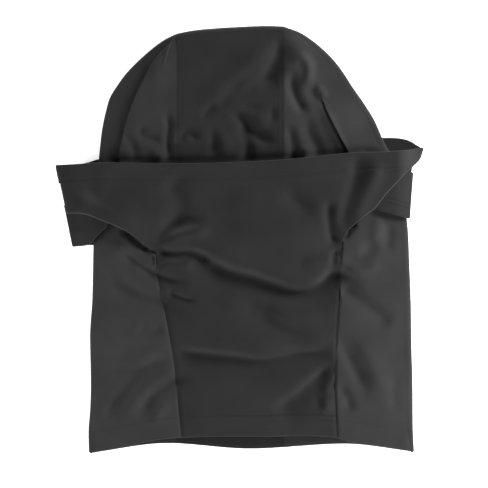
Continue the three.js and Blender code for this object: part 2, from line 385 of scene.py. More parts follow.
def lay(surface: Surface, columns: Array, rows: Array, under: Array | None = None,
        mirror: bool = False, wrap: int | None = None) -> Patch:
    """Lays a grid of cloth on a surface.

    Args:
        surface: maps (column, row) coordinates to a place.
        columns: first coordinates.
        rows: second coordinates.
        under: how deep each row lies under the face, where an edge is turned.
        mirror: true where the surface's own normal looks into the garment.
        wrap: the axis along which the cloth bends out of the flat, if it does.

    Returns:
        The cloth.
    """
    u, v = np.meshgrid(columns, rows)
    places = np.stack(surface(u, v), -1)
    if under is not None:
        normal = cloth_normals(surface, u, v) * (-1 if mirror else 1)
        places = places - normal * under[:, None, None]
    return woven(places[:, ::-1] if mirror else places, wrap)


def finished(name: str, bm: bmesh.types.BMesh) -> bpy.types.Object:
    """Turns a mesh that was being built into an object of the scene.

    Args:
        name: of the object and of its mesh.
        bm: the mesh, which is used up.

    Returns:
        The object.
    """
    mesh = bpy.data.meshes.new(name)
    bm.to_mesh(mesh)
    bm.free()
    made = bpy.data.objects.new(name, mesh)
    bpy.context.collection.objects.link(made)
    return made


def add_patch(bm: bmesh.types.BMesh, patch: Patch) -> None:
    """Adds a grid of cloth to a mesh that is being built.

    Args:
        bm: the mesh.
        patch: the cloth.
    """
    rows, columns = patch.places.shape[:2]
    uv = bm.loops.layers.uv.verify()
    made = bmesh.ops.create_grid(bm, x_segments=columns - 1, y_segments=rows - 1, size=0.5)
    where = {}
    for vert in made["verts"]:
        column = round((vert.co.x + 0.5) * (columns - 1))
        row = round((vert.co.y + 0.5) * (rows - 1))
        where[vert] = (row, column)
        vert.co = Vector(patch.places[row, column]) * MM
    for face in {f for v in made["verts"] for f in v.link_faces}:
        face.smooth = True
        for loop in face.loops:
            loop[uv].uv = Vector(patch.weave[where[loop.vert]]) * MM


def cloth_piece(name: str, patches: list[Patch], ply: float = CLOTH) -> bpy.types.Object:
    """Makes one cloth with real thickness out of grids that meet at their edges.

    Args:
        name: of the piece.
        patches: the grids, each facing out of the garment.
        ply: thickness of the cloth, which lies under the grids.

    Returns:
        The piece.
    """
    bm = bmesh.new()
    for patch in patches:
        add_patch(bm, patch)
    bmesh.ops.remove_doubles(bm, verts=bm.verts, dist=0.02 * MM)
    piece = finished(name, bm)
    body = piece.modifiers.new("ply", "SOLIDIFY")
    body.thickness = ply * MM
    body.offset = -1
    body.use_even_offset = False
    graph = bpy.context.evaluated_depsgraph_get()
    solid = bpy.data.meshes.new_from_object(piece.evaluated_get(graph))
    piece.modifiers.clear()
    piece.data = solid
    solid.name = name
    solid.set_sharp_from_angle(angle=math.radians(50))
    return piece


@dataclass(frozen=True)
class Stitch:
    """One stitch of a row, as a plump grain of thread.

    Attributes:
        length: of the thread that shows.
        gauge: thickness of the thread.
        pitch: from one stitch to the next.
        slant: angle across the row, in degrees.
    """

    length: float = 1.9
    gauge: float = 0.5
    pitch: float = 2.5
    slant: float = 0.0


def stitch_place(line: Array, run: Array, at: float) -> Matrix:
    """Finds where a stitch lies and which way it is turned.

    Args:
        line: places and normals side by side, six numbers to a row.
        run: the length along the line at each of its places.
        at: the length along the line at the stitch.

    Returns:
        A frame with its X along the line and its Z out of the cloth.
    """
    near = 0.5  # either way along the line, to find its direction
    spot, ahead, behind = (
        Vector([np.interp(at + off, run, line[:, k]) for k in range(3)]) for off in (0, near, -near)
    )
    up = Vector([np.interp(at, run, line[:, k]) for k in range(3, 6)]).normalized()
    forward = (ahead - behind).normalized()
    side = up.cross(forward).normalized()
    turn = Matrix((forward, side, side.cross(forward) * -1)).transposed()
    return Matrix.Translation(spot * MM) @ turn.to_4x4()


def stitched_rows(name: str, rows: list[Array], stitch: Stitch) -> bpy.types.Object:
    """Sews rows of stitches along lines on the cloth.

    Args:
        name: of the piece.
        rows: each a line as places and normals side by side, six numbers to a row.
        stitch: what each stitch is like.

    Returns:
        The piece.
    """
    bm = bmesh.new()
    size = Vector((stitch.length, stitch.gauge, stitch.gauge)) * MM / 2
    grain = Matrix.Rotation(math.radians(stitch.slant), 4, "Z") @ Matrix.Diagonal((*size, 1.0))
    for line in rows:
        run = np.cumsum(np.linalg.norm(np.diff(line[:, :3], axis=0, prepend=line[:1, :3]), axis=1))
        for at in np.arange(stitch.pitch / 2, run[-1], stitch.pitch):
            place = stitch_place(line, run, at) @ grain
            bmesh.ops.create_icosphere(bm, subdivisions=1, radius=1.0, matrix=place)
    bmesh.ops.recalc_face_normals(bm, faces=bm.faces)
    for face in bm.faces:
        face.smooth = True
    return finished(name, bm)


# ---------------------------------------------------------------------------------------------
# Finishes
# ---------------------------------------------------------------------------------------------


class Nodes:
    """A short way to write a node tree."""

    def __init__(self, tree: bpy.types.NodeTree) -> None:
        """Keeps the tree that nodes are added to."""
        self.tree = tree

    def add(self, kind: str, **settings: object) -> bpy.types.Node:
        """Adds a node.

        Args:
            kind: the node's type name, without its ShaderNode prefix.
            settings: properties to set on it.

        Returns:
            The node.
        """
        node = self.tree.nodes.new(kind if kind.startswith("Node") else f"ShaderNode{kind}")
        for key, value in settings.items():
            setattr(node, key, value)
        return node

    def join(self, source: Socket, target: Socket) -> None:
        """Links one socket to another."""
        self.tree.links.new(source, target)

    def math(self, operation: str, first: object, second: object) -> Socket:
        """Adds a math node.

        Args:
            operation: its operation.
            first: a socket or a number.
            second: a socket or a number.

        Returns:
            Its output.
        """
        node = self.add("Math", operation=operation)
        for socket, value in zip(node.inputs, (first, second)):
            if isinstance(value, Socket):
                self.join(value, socket)
            else:
                socket.default_value = value
        return node.outputs[0]

    def total(self, *shares: tuple[Socket, float]) -> Socket:
        """Adds up several sockets.

        Args:
            shares: each a socket and how much of it to take.

        Returns:
            The sum.
        """
        first, *rest = (self.math("MULTIPLY", socket, share) for socket, share in shares)
        for part in rest:
            first = self.math("ADD", first, part)
        return first

    def noise(self, where: Socket, scale: float, detail: float) -> Socket:
        """Adds a noise texture.

        Args:
            where: the coordinates that it is read at.
            scale: how fine it is.
            detail: how many finer layers it has.

        Returns:
            Its value, from 0 to 1.
        """
        node = self.add("TexNoise")
        node.inputs["Scale"].default_value = scale
        node.inputs["Detail"].default_value = detail
        self.join(where, node.inputs["Vector"])
        return node.outputs["Fac"]

    def colours(self, share: Socket, low: float, dark: Colour, high: float,
                light: Colour) -> Socket:
        """Adds a colour ramp.

        Args:
            share: where to read it.
            low: the share at which it is dark.
            dark: its first colour.
            high: the share at which it is light.
            light: its second colour.

        Returns:
            The colour.
        """
        node = self.add("ValToRGB")
        for stop, place, colour in zip(node.color_ramp.elements, (low, high), (dark, light)):
            stop.position = place
            stop.color = (*colour, 1)
        self.join(share, node.inputs[0])
        return node.outputs[0]

    def bump(self, height: Socket, strength: float, depth: float) -> Socket:
        """Adds a bump.

        Args:
            height: from 0 to 1.
            strength: how much it shows.
            depth: of the relief, in millimetres.

        Returns:
            The normal.
        """
        node = self.add("Bump")
        node.inputs["Strength"].default_value = strength
        node.inputs["Distance"].default_value = depth * MM
        self.join(height, node.inputs["Height"])
        return node.outputs[0]


def knit_group() -> bpy.types.NodeTree:
    """Builds the shared look of a fine knit, read from the cloth's own weave coordinates.

    Returns:
        A node group that gives a shade mask and a height, both from 0 to 1. The shade mask is
        painted shade in the hollows between the loops, mixed with random mottling.
    """
    group = bpy.data.node_groups.new("fine knit", "ShaderNodeTree")
    face = group.interface
    face.new_socket("Weave", in_out="INPUT", socket_type="NodeSocketVector")
    face.new_socket("Wales per metre", in_out="INPUT", socket_type="NodeSocketFloat")
    face.new_socket("Shade", in_out="OUTPUT", socket_type="NodeSocketFloat")
    face.new_socket("Height", in_out="OUTPUT", socket_type="NodeSocketFloat")
    nodes = Nodes(group)
    given, out = nodes.add("NodeGroupInput"), nodes.add("NodeGroupOutput")
    split = nodes.add("SeparateXYZ")
    nodes.join(given.outputs["Weave"], split.inputs[0])
    turn = nodes.math("MULTIPLY", given.outputs["Wales per metre"], math.tau)
    wale = nodes.math("SINE", nodes.math("MULTIPLY", split.outputs[0], turn), 0.0)
    lean = nodes.math("MULTIPLY", wale, 0.8)
    course_at = nodes.math("MULTIPLY", nodes.math("MULTIPLY", split.outputs[1], turn), 1.25)
    course = nodes.math("SINE", nodes.math("ADD", course_at, lean), 0.0)
    loops = nodes.math("ADD", nodes.total((wale, 0.3), (course, 0.2)), 0.5)
    fibre = nodes.noise(given.outputs["Weave"], scale=900.0, detail=3.0)
    patchy = nodes.noise(given.outputs["Weave"], scale=28.0, detail=4.0)
    nodes.join(nodes.total((loops, 0.8), (fibre, 0.35)), out.inputs["Height"])
    # The hollows between the loops are painted darker, as shade; the patchy and fibre noise mottle
    # the tone at random.
    nodes.join(nodes.total((loops, 0.45), (patchy, 0.4), (fibre, 0.2)), out.inputs["Shade"])
    return group


@dataclass(frozen=True)
class KnitFinish:
    """The finish of a knitted cloth.

    Attributes:
        name: of the material.
        dark: colour in the hollows between the loops.
        light: colour on top of the loops.
        wales: stitches to the metre.
        roughness: of the yarn.
        sheen: how much the surface fibres light up at a glancing angle.
        relief: height of the loops, in millimetres.
    """

    name: str
    # dark: colour in the hollows between the loops, which is painted shade.         light: colour on top of the loops, which is painted as lit.
    dark: Colour
    light: Colour
    wales: float = 1150.0
    roughness: float = 0.88
    sheen: float = 0.08
    relief: float = 0.10

    def material(self, group: bpy.types.NodeTree) -> bpy.types.Material:
        """Builds the material.

        Args:
            group: the shared knit.

        Returns:
            The material.
        """
        material = bpy.data.materials.new(self.name)
        material.use_nodes = True
        nodes = Nodes(material.node_tree)
        shader = material.node_tree.nodes["Principled BSDF"]
        weave = nodes.add("UVMap")
        knit = nodes.add("Group", node_tree=group)
        nodes.join(weave.outputs[0], knit.inputs["Weave"])
        knit.inputs["Wales per metre"].default_value = self.wales
        # Painted shade: the hollows between the loops get the dark colour.
        colour = nodes.colours(knit.outputs["Shade"], 0.25, self.dark, 0.8, self.light)
        nodes.join(colour, shader.inputs["Base Color"])
        nodes.join(nodes.bump(knit.outputs["Height"], 0.6, self.relief), shader.inputs["Normal"])
        shader.inputs["Roughness"].default_value = self.roughness
        shader.inputs["Specular IOR Level"].default_value = 0.08
        shader.inputs["Sheen Weight"].default_value = self.sheen
        shader.inputs["Sheen Roughness"].default_value = 0.6
        return material


@dataclass(frozen=True)
class ThreadFinish:
    """The finish of sewing thread: twisted, with a soft shine.

    Attributes:
        name: of the material.
        colour: of the thread where it is lit.
        twist: how close together the turns of the thread are.
    """

    name: str
    colour: Colour
    twist: float = 2600.0

    def material(self) -> bpy.types.Material:
        """Builds the material.

        Returns:
            The material.
        """
        material = bpy.data.materials.new(self.name)
        material.use_nodes = True
        nodes = Nodes(material.node_tree)
        shader = material.node_tree.nodes["Principled BSDF"]
        where = nodes.add("TexCoord")
        twist = nodes.add("TexWave", wave_type="BANDS", bands_direction="DIAGONAL")
        twist.inputs["Scale"].default_value = self.twist
        twist.inputs["Distortion"].default_value = 1.5
        nodes.join(where.outputs["Object"], twist.inputs["Vector"])
        shaded = tuple(0.55 * part for part in self.colour)
        colour = nodes.colours(twist.outputs["Fac"], 0.0, shaded, 1.0, self.colour)
        nodes.join(colour, shader.inputs["Base Color"])
        nodes.join(nodes.bump(twist.outputs["Fac"], 0.4, 0.05), shader.inputs["Normal"])
        shader.inputs["Roughness"].default_value = 0.6
        shader.inputs["Specular IOR Level"].default_value = 0.2
        return material


# ---------------------------------------------------------------------------------------------
# The lie of the garment
# ---------------------------------------------------------------------------------------------


@dataclass
class Lie:
    """Where the laid garment's outlines, seams and levels run."""

    hinge_left: tuple[float, float] = (-69.0, -11.0)
    hinge_right: tuple[float, float] = (83.5, -1.0)
    crown_left: float = -52.0
    crown_right: float = 36.5
    brow: float = 42.0  # top of the face opening
    tube: float = 12.0  # height of the flattened tube
    slope: float = 7.5  # how much lower it is at its outer edges
    slope_width: float = 60.0  # how far in from the edges it starts to go down
    stitch_row: float = 13.4  # from a hem's edge to its first row of stitches
    lift: float = 3.0  # over the back of the mask
    rise: float = 335.0  # from the neck hem to the crown
    hem_level: float = -163.0  # of the neck hem between the front seams
    outline_left: Curve = field(
        default_factory=lambda: Curve(
            [(-180, -124.5), (-160, -125), (-140, -123.6), (-121, -123), (-82, -123.6), (-50, -121.6),
             (0, -120.4), (40, -118), (62, -116.5), (90, -113.5), (105, -110.5), (117, -107),
             (126, -101.5), (138, -92.5), (155, -74.5), (164, -62), (168.5, -53)]
        )
    )
    outline_right: Curve = field(
        default_factory=lambda: Curve(
            [(-180, 144), (-160, 142.8), (-120, 142.3), (-80, 141.2), (-50, 140.6), (-20, 139.4),
             (10, 138), (24, 136), (40, 131), (67, 125.5), (78, 119.5), (85, 116.2), (98, 110.5),
             (115, 100), (125, 93), (135, 86.6), (145, 79.4), (154, 71), (164, 59), (170.5, 48),
             (174.2, 37)]
        )
    )
    crown_edge: Curve = field(
        default_factory=lambda: Curve(
            [(-54, 168.5), (-40, 171.4), (-20, 173.4), (0, 174.6), (22, 175.4), (38, 174.8)]
        )
    )
    seam_left: Curve = field(
        default_factory=lambda: Curve(
            [(-178, -46), (-163, -47.5), (-148, -49), (-116, -52), (-87, -56), (-58, -61.5),
             (-34, -66.5), (-11, -69)]
        )
    )
    seam_right: Curve = field(
        default_factory=lambda: Curve(
            [(-178, 79.5), (-163, 79.5), (-132, 78), (-87, 78.5), (-50, 80.5), (-17, 82), (-1, 83.5)]
        )
    )
    hem_front: Curve = field(
        default_factory=lambda: Curve(
            [(-123, -176.5), (-94, -171), (-72, -166), (-47, -163.5), (20, -162.5), (79, -163.5),
             (95, -168), (118, -171), (142, -175.5)]
        )
    )
    hem_back: Curve = field(
        default_factory=lambda: Curve(
            [(-123, -176.5), (-60, -168.5), (8, -173), (86, -169), (142, -175.5)]
        )
    )

    def raised(self, y: Array) -> Array:
        """Tells how far the tube is lifted by the back of the mask at height y."""
        return self.lift * ramp(y, -96, -56) * (1 - ramp(y, 86, 126))

    def depth(self, y: Array) -> Array:
        """Tells how thick the flattened tube is at height y."""
        return self.tube * mix(0.60, 1.0, ramp(y, -180, -128))

    def seam(self, side: int, y: Array) -> Array:
        """Finds the front edge of a side panel.

        Args:
            side: -1 for the left and 1 for the right.
            y: places along the garment.

        Returns:
            The edge's x: the front seam, then the face opening, then the crown seam.
        """
        hinge = self.hinge_left if side < 0 else self.hinge_right
        seam = self.seam_left if side < 0 else self.seam_right
        crown = self.crown_left if side < 0 else self.crown_right
        middle = (self.hinge_left[0] + self.hinge_right[0]) / 2
        half = abs(hinge[0] - middle)
        up = np.clip((y - hinge[1]) / (self.brow - hinge[1]), 0, 1)
        opening = middle + side * half * np.sqrt(np.maximum(1 - up * up, 0))
        upper = side * np.maximum(side * opening, side * crown)
        return np.where(y < hinge[1], seam(y), upper)


HOOD_CREASES = (
    Crease([(37, 168), (30, 148), (22, 132), (14, 122)], -5.4, 9, 6, 0.3),
    Crease([(28, 162), (8, 143), (-14, 125), (-38, 104)], 2.2, 6, 10, 0.3),
    Crease([(14, 134), (0, 124), (-16, 111)], 1.5, 4, 4, 0.35),
    Crease([(4, 128), (-10, 116), (-22, 104)], -1.7, 4, 4, 0.4),
    Crease([(-18, 110), (-25, 106), (-31, 97)], -2.2, 4, 4, 0.35),
    Crease([(-12, 101), (-4, 101), (4, 95), (11, 87), (22, 81), (31, 79)], -3.9, 5.0, 4.5, 0.3),
    Crease([(0, 97), (4, 86), (6, 76), (5, 60)], -3.4, 5.0, 5.0, 0.3),
    Crease([(-3, 110), (8, 108), (20, 109)], -1.5, 3, 3, 0.4),
    Crease([(10, 102), (18, 98), (26, 94)], 1.4, 4, 4, 0.4),
    Crease([(26, 112), (27, 102), (25, 92)], -1.5, 3, 3, 0.4),
    Crease([(-50, 76), (-46, 85), (-40, 86), (-32, 80)], -3.0, 4.0, 3.6, 0.3),
    Crease([(-26, 92), (-21, 80), (-24, 66)], -2.2, 4, 4, 0.35),
    Crease([(-12, 88), (-12, 78), (-8, 66)], 1.8, 6, 6, 0.35),
    Crease([(-100, 88), (-92, 84), (-87, 74), (-86, 62)], -1.8, 4, 4, 0.35),
    Crease([(-79, 96), (-80, 86), (-72, 82), (-62, 80)], -2.1, 4.0, 4.0, 0.3),
    Crease([(-74, 76), (-68, 70), (-62, 60)], 1.5, 4, 4, 0.35),
    Crease([(-62, 108), (-58, 94), (-59, 80), (-58, 60)], -3.0, 4.0, 3.0, 0.3),
    Crease([(47, 140), (43, 130), (45, 118), (50, 108), (55, 98)], -3.9, 5.0, 4.6, 0.3),
    Crease([(42, 144), (50, 149), (56, 143), (56, 133), (52, 122)], 2.8, 4.6, 4.0, 0.3),
    Crease([(56, 128), (60, 118), (68, 116)], -1.6, 4.6, 4.6, 0.4),
    Crease([(60, 124), (66, 122), (71, 114)], 1.8, 3.4, 3.4, 0.35),
    Crease([(66, 112), (72, 98), (82, 78), (88, 64)], 2.0, 4, 4, 0.25),
    Crease([(60, 104), (56, 92), (60, 80), (70, 64)], -2.6, 5.5, 5.5, 0.35),
    Crease([(40, 96), (43, 82), (45, 66), (46, 58)], -2.6, 4.2, 4.2, 0.3),
    Crease([(52, 78), (54, 70), (54, 60)], 1.8, 5, 5, 0.3),
    Crease([(-120, 65), (-60, 63), (0, 64.5), (60, 68), (126, 73)], -3.3, 3.4, 7, 0.05),
)

FRONT_CREASES = (
    Crease([(-44, -2), (-18, -10), (8, -18), (34, -26), (62, -26)], 2.0, 9, 9, 0.3),
    Crease([(-69, -5), (-57, 8), (-43, 15), (-26, 20)], -4.0, 6.0, 6.0, 0.35),
    Crease([(-68, -9), (-54, 1), (-40, 5), (-22, 5)], 3.0, 5, 5, 0.25),
    Crease([(-69, -10), (-54, -13), (-40, -11), (-22, -18)], -4.9, 4.0, 5.0, 0.2),
    Crease([(-66, -19), (-52, -21), (-36, -22)], 2.1, 4, 4, 0.3),
    Crease([(-60, -41), (-50, -47), (-34, -52)], -3.0, 2.0, 4.0, 0.3),
    Crease([(-8, -44), (8, -54), (28, -68), (46, -78), (66, -82)], -3.8, 7, 11, 0.3),
    Crease([(20, -52), (44, -60), (70, -60)], 2.3, 8, 8, 0.35),
    Crease([(-50, -84), (-10, -86), (30, -86), (60, -82)], 1.7, 9, 9, 0.35),
    Crease([(80, -102), (68, -112), (56, -122), (42, -133), (24, -142)], -4.9, 13, 5, 0.25),
    Crease([(79, -106), (72, -120), (70, -134), (74, -146)], 2.8, 4.5, 4.5, 0.25),
    Crease([(74, -124), (67, -132), (62, -140)], -2.1, 4.0, 4.0, 0.35),
    Crease([(-50, -140), (-20, -146), (10, -147)], 1.1, 6, 6, 0.3),
    Crease([(97, 72), (94, 44), (88, 24), (82, 4)], -3.2, 10, 6, 0.2),
    Crease([(116, 66), (106, 46), (97, 28), (88, 10)], 3.4, 7, 7, 0.25),
    Crease([(-62, 50), (-50, 34), (-50, 18), (-60, 4)], -3.8, 10, 10, 0.25),
    Crease([(-46, 38), (-20, 32), (8, 34)], -2.3, 8, 8, 0.4),
    Crease([(30, 40), (48, 30), (60, 16)], -2.7, 7, 7, 0.4),
    Crease([(-20, 14), (10, 6), (44, 2), (70, 6)], 2.7, 10, 10, 0.35),
    Crease([(74, 34), (73, 20), (75, 6), (79, -8)], -3.8, 4.5, 4.5, 0.25),
    Crease([(82, -8), (76, -16), (79, -24)], -2.7, 3.0, 3.0, 0.3),
    Crease([(82, -12), (70, -18), (50, -18)], 1.9, 4, 4, 0.3),
    Crease([(-128, 44), (-112, 30), (-96, 24), (-80, 12)], 2.7, 8, 8, 0.3),
    Crease([(-140, 34), (-120, 30), (-100, 20)], -1.9, 6, 6, 0.3),
)

LEFT_CREASES = (
    Crease([(-112, -4), (-94, -16), (-72, -28)], 1.8, 6, 6, 0.3),
    Crease([(-86, -72), (-74, -76), (-60, -73)], -1.9, 5, 5, 0.3),
    Crease([(-106, -90), (-88, -91), (-64, -84)], -1.6, 7, 7, 0.35),
    Crease([(-114, -152), (-103, -136), (-90, -121), (-74, -106)], -3.2, 5, 7, 0.3),
    Crease([(-100, -150), (-88, -134), (-72, -120)], 1.6, 6, 6, 0.3),
    Crease([(-70, -152), (-66, -142), (-58, -134)], 1.2, 4, 4, 0.3),
    Crease([(-101, 10), (-92, 5), (-83, -3), (-76, -9), (-71, -14)], -4.2, 2.8, 2.8, 0.25),
    Crease([(-74, -2), (-70, -6), (-68, -11)], -3.4, 4.0, 4.0, 0.1),
)

RIGHT_CREASES = (
    Crease([(80, -36), (94, -47), (108, -58), (126, -72)], -3.2, 6, 8, 0.2),
    Crease([(82, -14), (98, -18), (108, -6), (112, 4)], -2.4, 6, 6, 0.3),
    Crease([(84, -24), (98, -26), (116, -18)], 1.6, 6, 6, 0.3),
    Crease([(94, -84), (108, -104), (118, -128)], 1.6, 9, 9, 0.3),
    Crease([(80, -118), (88, -130), (91, -144)], -2.2, 4.5, 4.5, 0.3),
    Crease([(112, 20), (112, 8), (108, -6)], 1.6, 5, 5, 0.3),
    Crease([(122, 16), (123, 2), (119, -14)], -2.2, 6, 6, 0.35),
    Crease([(132, -108), (128, -126), (132, -148)], -1.6, 6, 6, 0.35),
    Crease([(84, -1), (87, 5), (91, 10), (96, 15)], -3.8, 2.4, 2.6, 0.3),
)

NECK_CREASES = (
    Crease([(-44, -11), (-28, -18), (-10, -27), (12, -33), (33, -41), (50, -45), (65, -40), (79, -29),
            (92, -33), (106, -35)], -8.8, 5.5, 13, 0.2),
    Crease([(-60, -93), (-36, -95), (-6, -98), (20, -101), (46, -96), (66, -93), (78, -84)],
           -6.0, 5.0, 11, 0.16),
    Crease([(-120, -108), (-98, -110), (-80, -108), (-62, -99), (-46, -95)], -4.2, 6, 8, 0.42),
    Crease([(70, -92), (79, -85), (86, -89), (94, -102), (101, -118), (107, -138)], -4.6, 8, 7, 0.42),
    Crease([(-118, -16), (-104, -31), (-88, -44), (-68, -52), (-50, -62), (-34, -68)], -5.6, 9, 10,
           0.42),
    Crease([(-102, -8), (-84, -20), (-68, -30), (-52, -35), (-40, -33)], -4.2, 4, 5, 0.25),
    Crease([(-84, -152), (-76, -136), (-66, -126), (-52, -118), (-36, -114)], -3.9, 6, 6, 0.3),
)


# ---------------------------------------------------------------------------------------------
# The hood and neck tube
# ---------------------------------------------------------------------------------------------


@dataclass
class SidePanel:
    """A side panel, from the front seam round the edge of the tube to the seam at the back.

    Attributes:
        side: -1 for the left and 1 for the right.
        lie: how the garment lies.
        relief: the creases of its front ply.
        pleat_at: x of the pleat at each height.
        pleat: how much of the pleat there is at each height, from 0 to 1.
        inner_over: true where the cloth by the front lies over the cloth by the edge.
        tuck: how far the pleat's plies lie over each other.
        raise_top: height of the pleat's top ply over its bottom one.
    """

    side: int
    lie: Lie
    relief: Relief
    pleat_at: Curve
    pleat: Curve
    inner_over: bool = True
    tuck: float = 12.0
    raise_top: float = 3.2

    def outline(self, y: Array) -> Array:
        """Finds the outer edge of the laid tube at height y."""
        return (self.lie.outline_left if self.side < 0 else self.lie.outline_right)(y)

    def crown(self) -> float:
        """Gives the x of the crown seam and of the seam at the back."""
        return self.lie.crown_left if self.side < 0 else self.lie.crown_right

    def thick(self, y: Array) -> Array:
        """Tells how thick the tube is, thinning where the crown turns over.

        Args:
            y: places along the garment.

        Returns:
            The thickness at each place.
        """
        half = self.lie.depth(y) / 2
        into = np.clip(y - (self.lie.crown_edge(self.crown()) - half), 0, half * 0.97)
        return 2 * np.sqrt(half**2 - into**2)

    def front_level(self, x: Array, y: Array) -> Array:
        """Finds the height of the panel's front face where it isn't pleated.

        Args:
            x: places across the garment.
            y: places along the garment.

        Returns:
            The height at each place.
        """
        settled = ramp(np.abs(self.outline(y) - x), 3.0, 20.0)
        middle = self.lie.raised(y) + self.lie.depth(y) / 2
        from_seam = x - self.lie.seam(self.side, y)
        sunk = 1.5 * (1 - ramp(y, -12, -4)) * np.exp(-((from_seam / 1.2) ** 2))
        hem = hem_step(y - self.lie.hem_front(x), self.lie.stitch_row)
        level = middle + self.thick(y) / 2 - self.slope(x, y) + hem - sunk
        covered = ramp(y, 18, 34) * (1 - ramp(y, 48, 60))
        return level + settled * mix(1.0, 0.3, covered) * self.relief.at(x, y)

    def slope(self, x: Array, y: Array) -> Array:
        """Tells how much lower the front ply lies towards the outer edge.

        Args:
            x: places across the garment.
            y: places along the garment.

        Returns:
            The drop at each place.
        """
        out = (1 - np.clip(np.abs(self.outline(y) - x) / self.lie.slope_width, 0, 1)) ** 2
        top = ramp(np.abs(x - self.lie.seam(self.side, y)), 0.0, 26.0)
        return self.lie.slope * out * top * self.thick(y) / self.lie.tube

    def even(self, u: Array, start: Array, crease: Array, bend: Array, y: Array) -> Array:
        """Spreads the front ply where it isn't pleated.

        Args:
            u: share of the way round the panel.
            start: x of the front seam.
            crease: x at which the pleat would be.
            bend: x at which the panel turns to the back.
            y: places along.

        Returns:
            The x of each place: evenly spread at the top, and drawn to the pleat below.
        """
        inner, outer = crease - 0.5 * self.side, crease + 0.5 * self.side
        drawn = np.select(
            [u < FOLD_ONE[0], u < FOLD_TWO[1]],
            [
                mix(start, inner, u / FOLD_ONE[0]),
                mix(inner, outer, (u - FOLD_ONE[0]) / (FOLD_TWO[1] - FOLD_ONE[0])),
            ],
            mix(outer, bend, np.clip((u - FOLD_TWO[1]) / (ROUND[0] - FOLD_TWO[1]), 0, 1)),
        )
        return mix(drawn, mix(start, bend, np.clip(u / ROUND[0], 0, 1)), ramp(y, 120, 150))

    def pleated(self, u: Array, y: Array, start: Array, bend: Array) -> tuple[Array, Array]:
        """Follows the front ply round its pleat.

        Args:
            u: share of the way round the panel.
            y: places along.
            start: x of the front seam.
            bend: x at which the panel turns to the back.

        Returns:
            The x, and how far each place is lifted.
        """
        side, amount = self.side, self.pleat(y)
        crease = side * np.clip(side * self.pleat_at(y), side * start + 0.6, side * bend - 0.6)
        middle = 0.38 * self.raise_top
        if self.inner_over:
            first, second = crease, side * np.maximum(side * crease - self.tuck, side * start)
            near, far = self.raise_top, 0.0
        else:
            first, second = side * np.minimum(side * crease + self.tuck, side * bend), crease
            near, far = 0.0, self.raise_top
        one, two = ((u - fold[0]) / (fold[1] - fold[0]) * math.pi for fold in (FOLD_ONE, FOLD_TWO))
        stretches = [u < FOLD_ONE[0], u < FOLD_ONE[1], u < FOLD_TWO[0], u < FOLD_TWO[1]]
        between = (u - FOLD_ONE[1]) / (FOLD_TWO[0] - FOLD_ONE[1])
        beyond = np.clip((u - FOLD_TWO[1]) / (ROUND[0] - FOLD_TWO[1]), 0, 1)
        across = [
            mix(start, first, u / FOLD_ONE[0]),
            first + side * abs(near - middle) / 2 * np.sin(one),
            mix(first, second, between),
            second - side * abs(far - middle) / 2 * np.sin(two),
        ]
        x = np.select(stretches, across, mix(second, bend, beyond))
        close = (1 - ramp(np.abs(x - crease), 0.0, 34.0)) * ramp(np.abs(x - start), 0.0, 18.0)
        lifts = [
            near * close,
            mix(near, middle, (1 - np.cos(one)) / 2),
            middle,
            mix(middle, far, (1 - np.cos(two)) / 2),
        ]
        lift = np.select(stretches, lifts, far * close)
        return mix(self.even(u, start, crease, bend, y), x, amount), lift * amount

    def section(self, u: Array, y: Array) -> tuple[Array, Array, Array]:
        """Follows the cloth round at one height.

        Args:
            u: share of the way, from 0 at the front seam to 1 at the back seam.
            y: places along.

        Returns:
            The x, y and z of the outer face.
        """
        side, outline, start = self.side, self.outline(y), self.lie.seam(self.side, y)
        radius = np.minimum(self.thick(y) / 2, np.abs(outline - start) * 0.45 + 0.05)
        bend = outline - side * radius
        x, lift = self.pleated(u, y, start, bend)
        z = self.front_level(x, y) + lift
        turn = np.clip((u - ROUND[0]) / (ROUND[1] - ROUND[0]), 0, 1)
        angle = mix(math.pi / 2, -math.pi / 2, turn)
        middle = self.lie.raised(y) + self.lie.depth(y) / 2
        bending = u >= ROUND[0]
        drop = self.slope(bend, y) / 2
        x = np.where(bending, bend + side * radius * np.cos(angle), x)
        z = np.where(bending, middle - drop + (self.thick(y) / 2 - drop) * np.sin(angle), z)
        back = (u - ROUND[1]) / (1 - ROUND[1])
        x = np.where(u >= ROUND[1], mix(bend, self.crown(), back), x)
        return x, y + 0.0 * x, z

    def surface(self, u: Array, d: Array) -> tuple[Array, Array, Array]:
        """Maps places on the panel to places in the frame.

        Args:
            u: share of the way round.
            d: distance up from the hem.

        Returns:
            The x, y and z of the outer face.
        """
        top = self.lie.crown_edge(self.crown()) - 0.5
        x, _, _ = self.section(u, np.full_like(u + d, self.lie.hem_level - 2.0))
        hem = mix(self.lie.hem_front(x), self.lie.hem_back(x), ramp(u, 0.56, 0.72))
        y = hem + d + (top - hem - self.lie.rise) * ramp(d, 20.0, self.lie.rise)
        return self.section(u, y)

    def patches(self) -> list[Patch]:
        """Lays the panel with its neck hem turned up inside.

        Returns:
            Its one grid.
        """
        distance = spread((-NECK_HEM, -TURN, 6), (-TURN, TURN, 6), (TURN, 20, 10), (20, 230, 105),
                          (230, self.lie.rise - 12, 55), (self.lie.rise - 12, self.lie.rise, 12))
        away, under = turned(distance, TURN)
        columns = spread((0, FOLD_ONE[0], 34), (*FOLD_ONE, 5), (FOLD_ONE[1], FOLD_TWO[0], 5),
                         (*FOLD_TWO, 5), (FOLD_TWO[1], ROUND[0], 22), (*ROUND, 12),
                         (ROUND[1], 1.0, 34))
        return [lay(self.surface, columns, away, under, mirror=self.side < 0, wrap=1)]

    def line(self, u: Array, d: Array, proud: float) -> Array:
        """Traces a line on the panel for stitches."""
        return on_surface(self.surface, u, d, proud, outward=self.side)

    def build(self, name: str) -> bpy.types.Object:
        """Makes the panel."""
        return cloth_piece(name, self.patches())


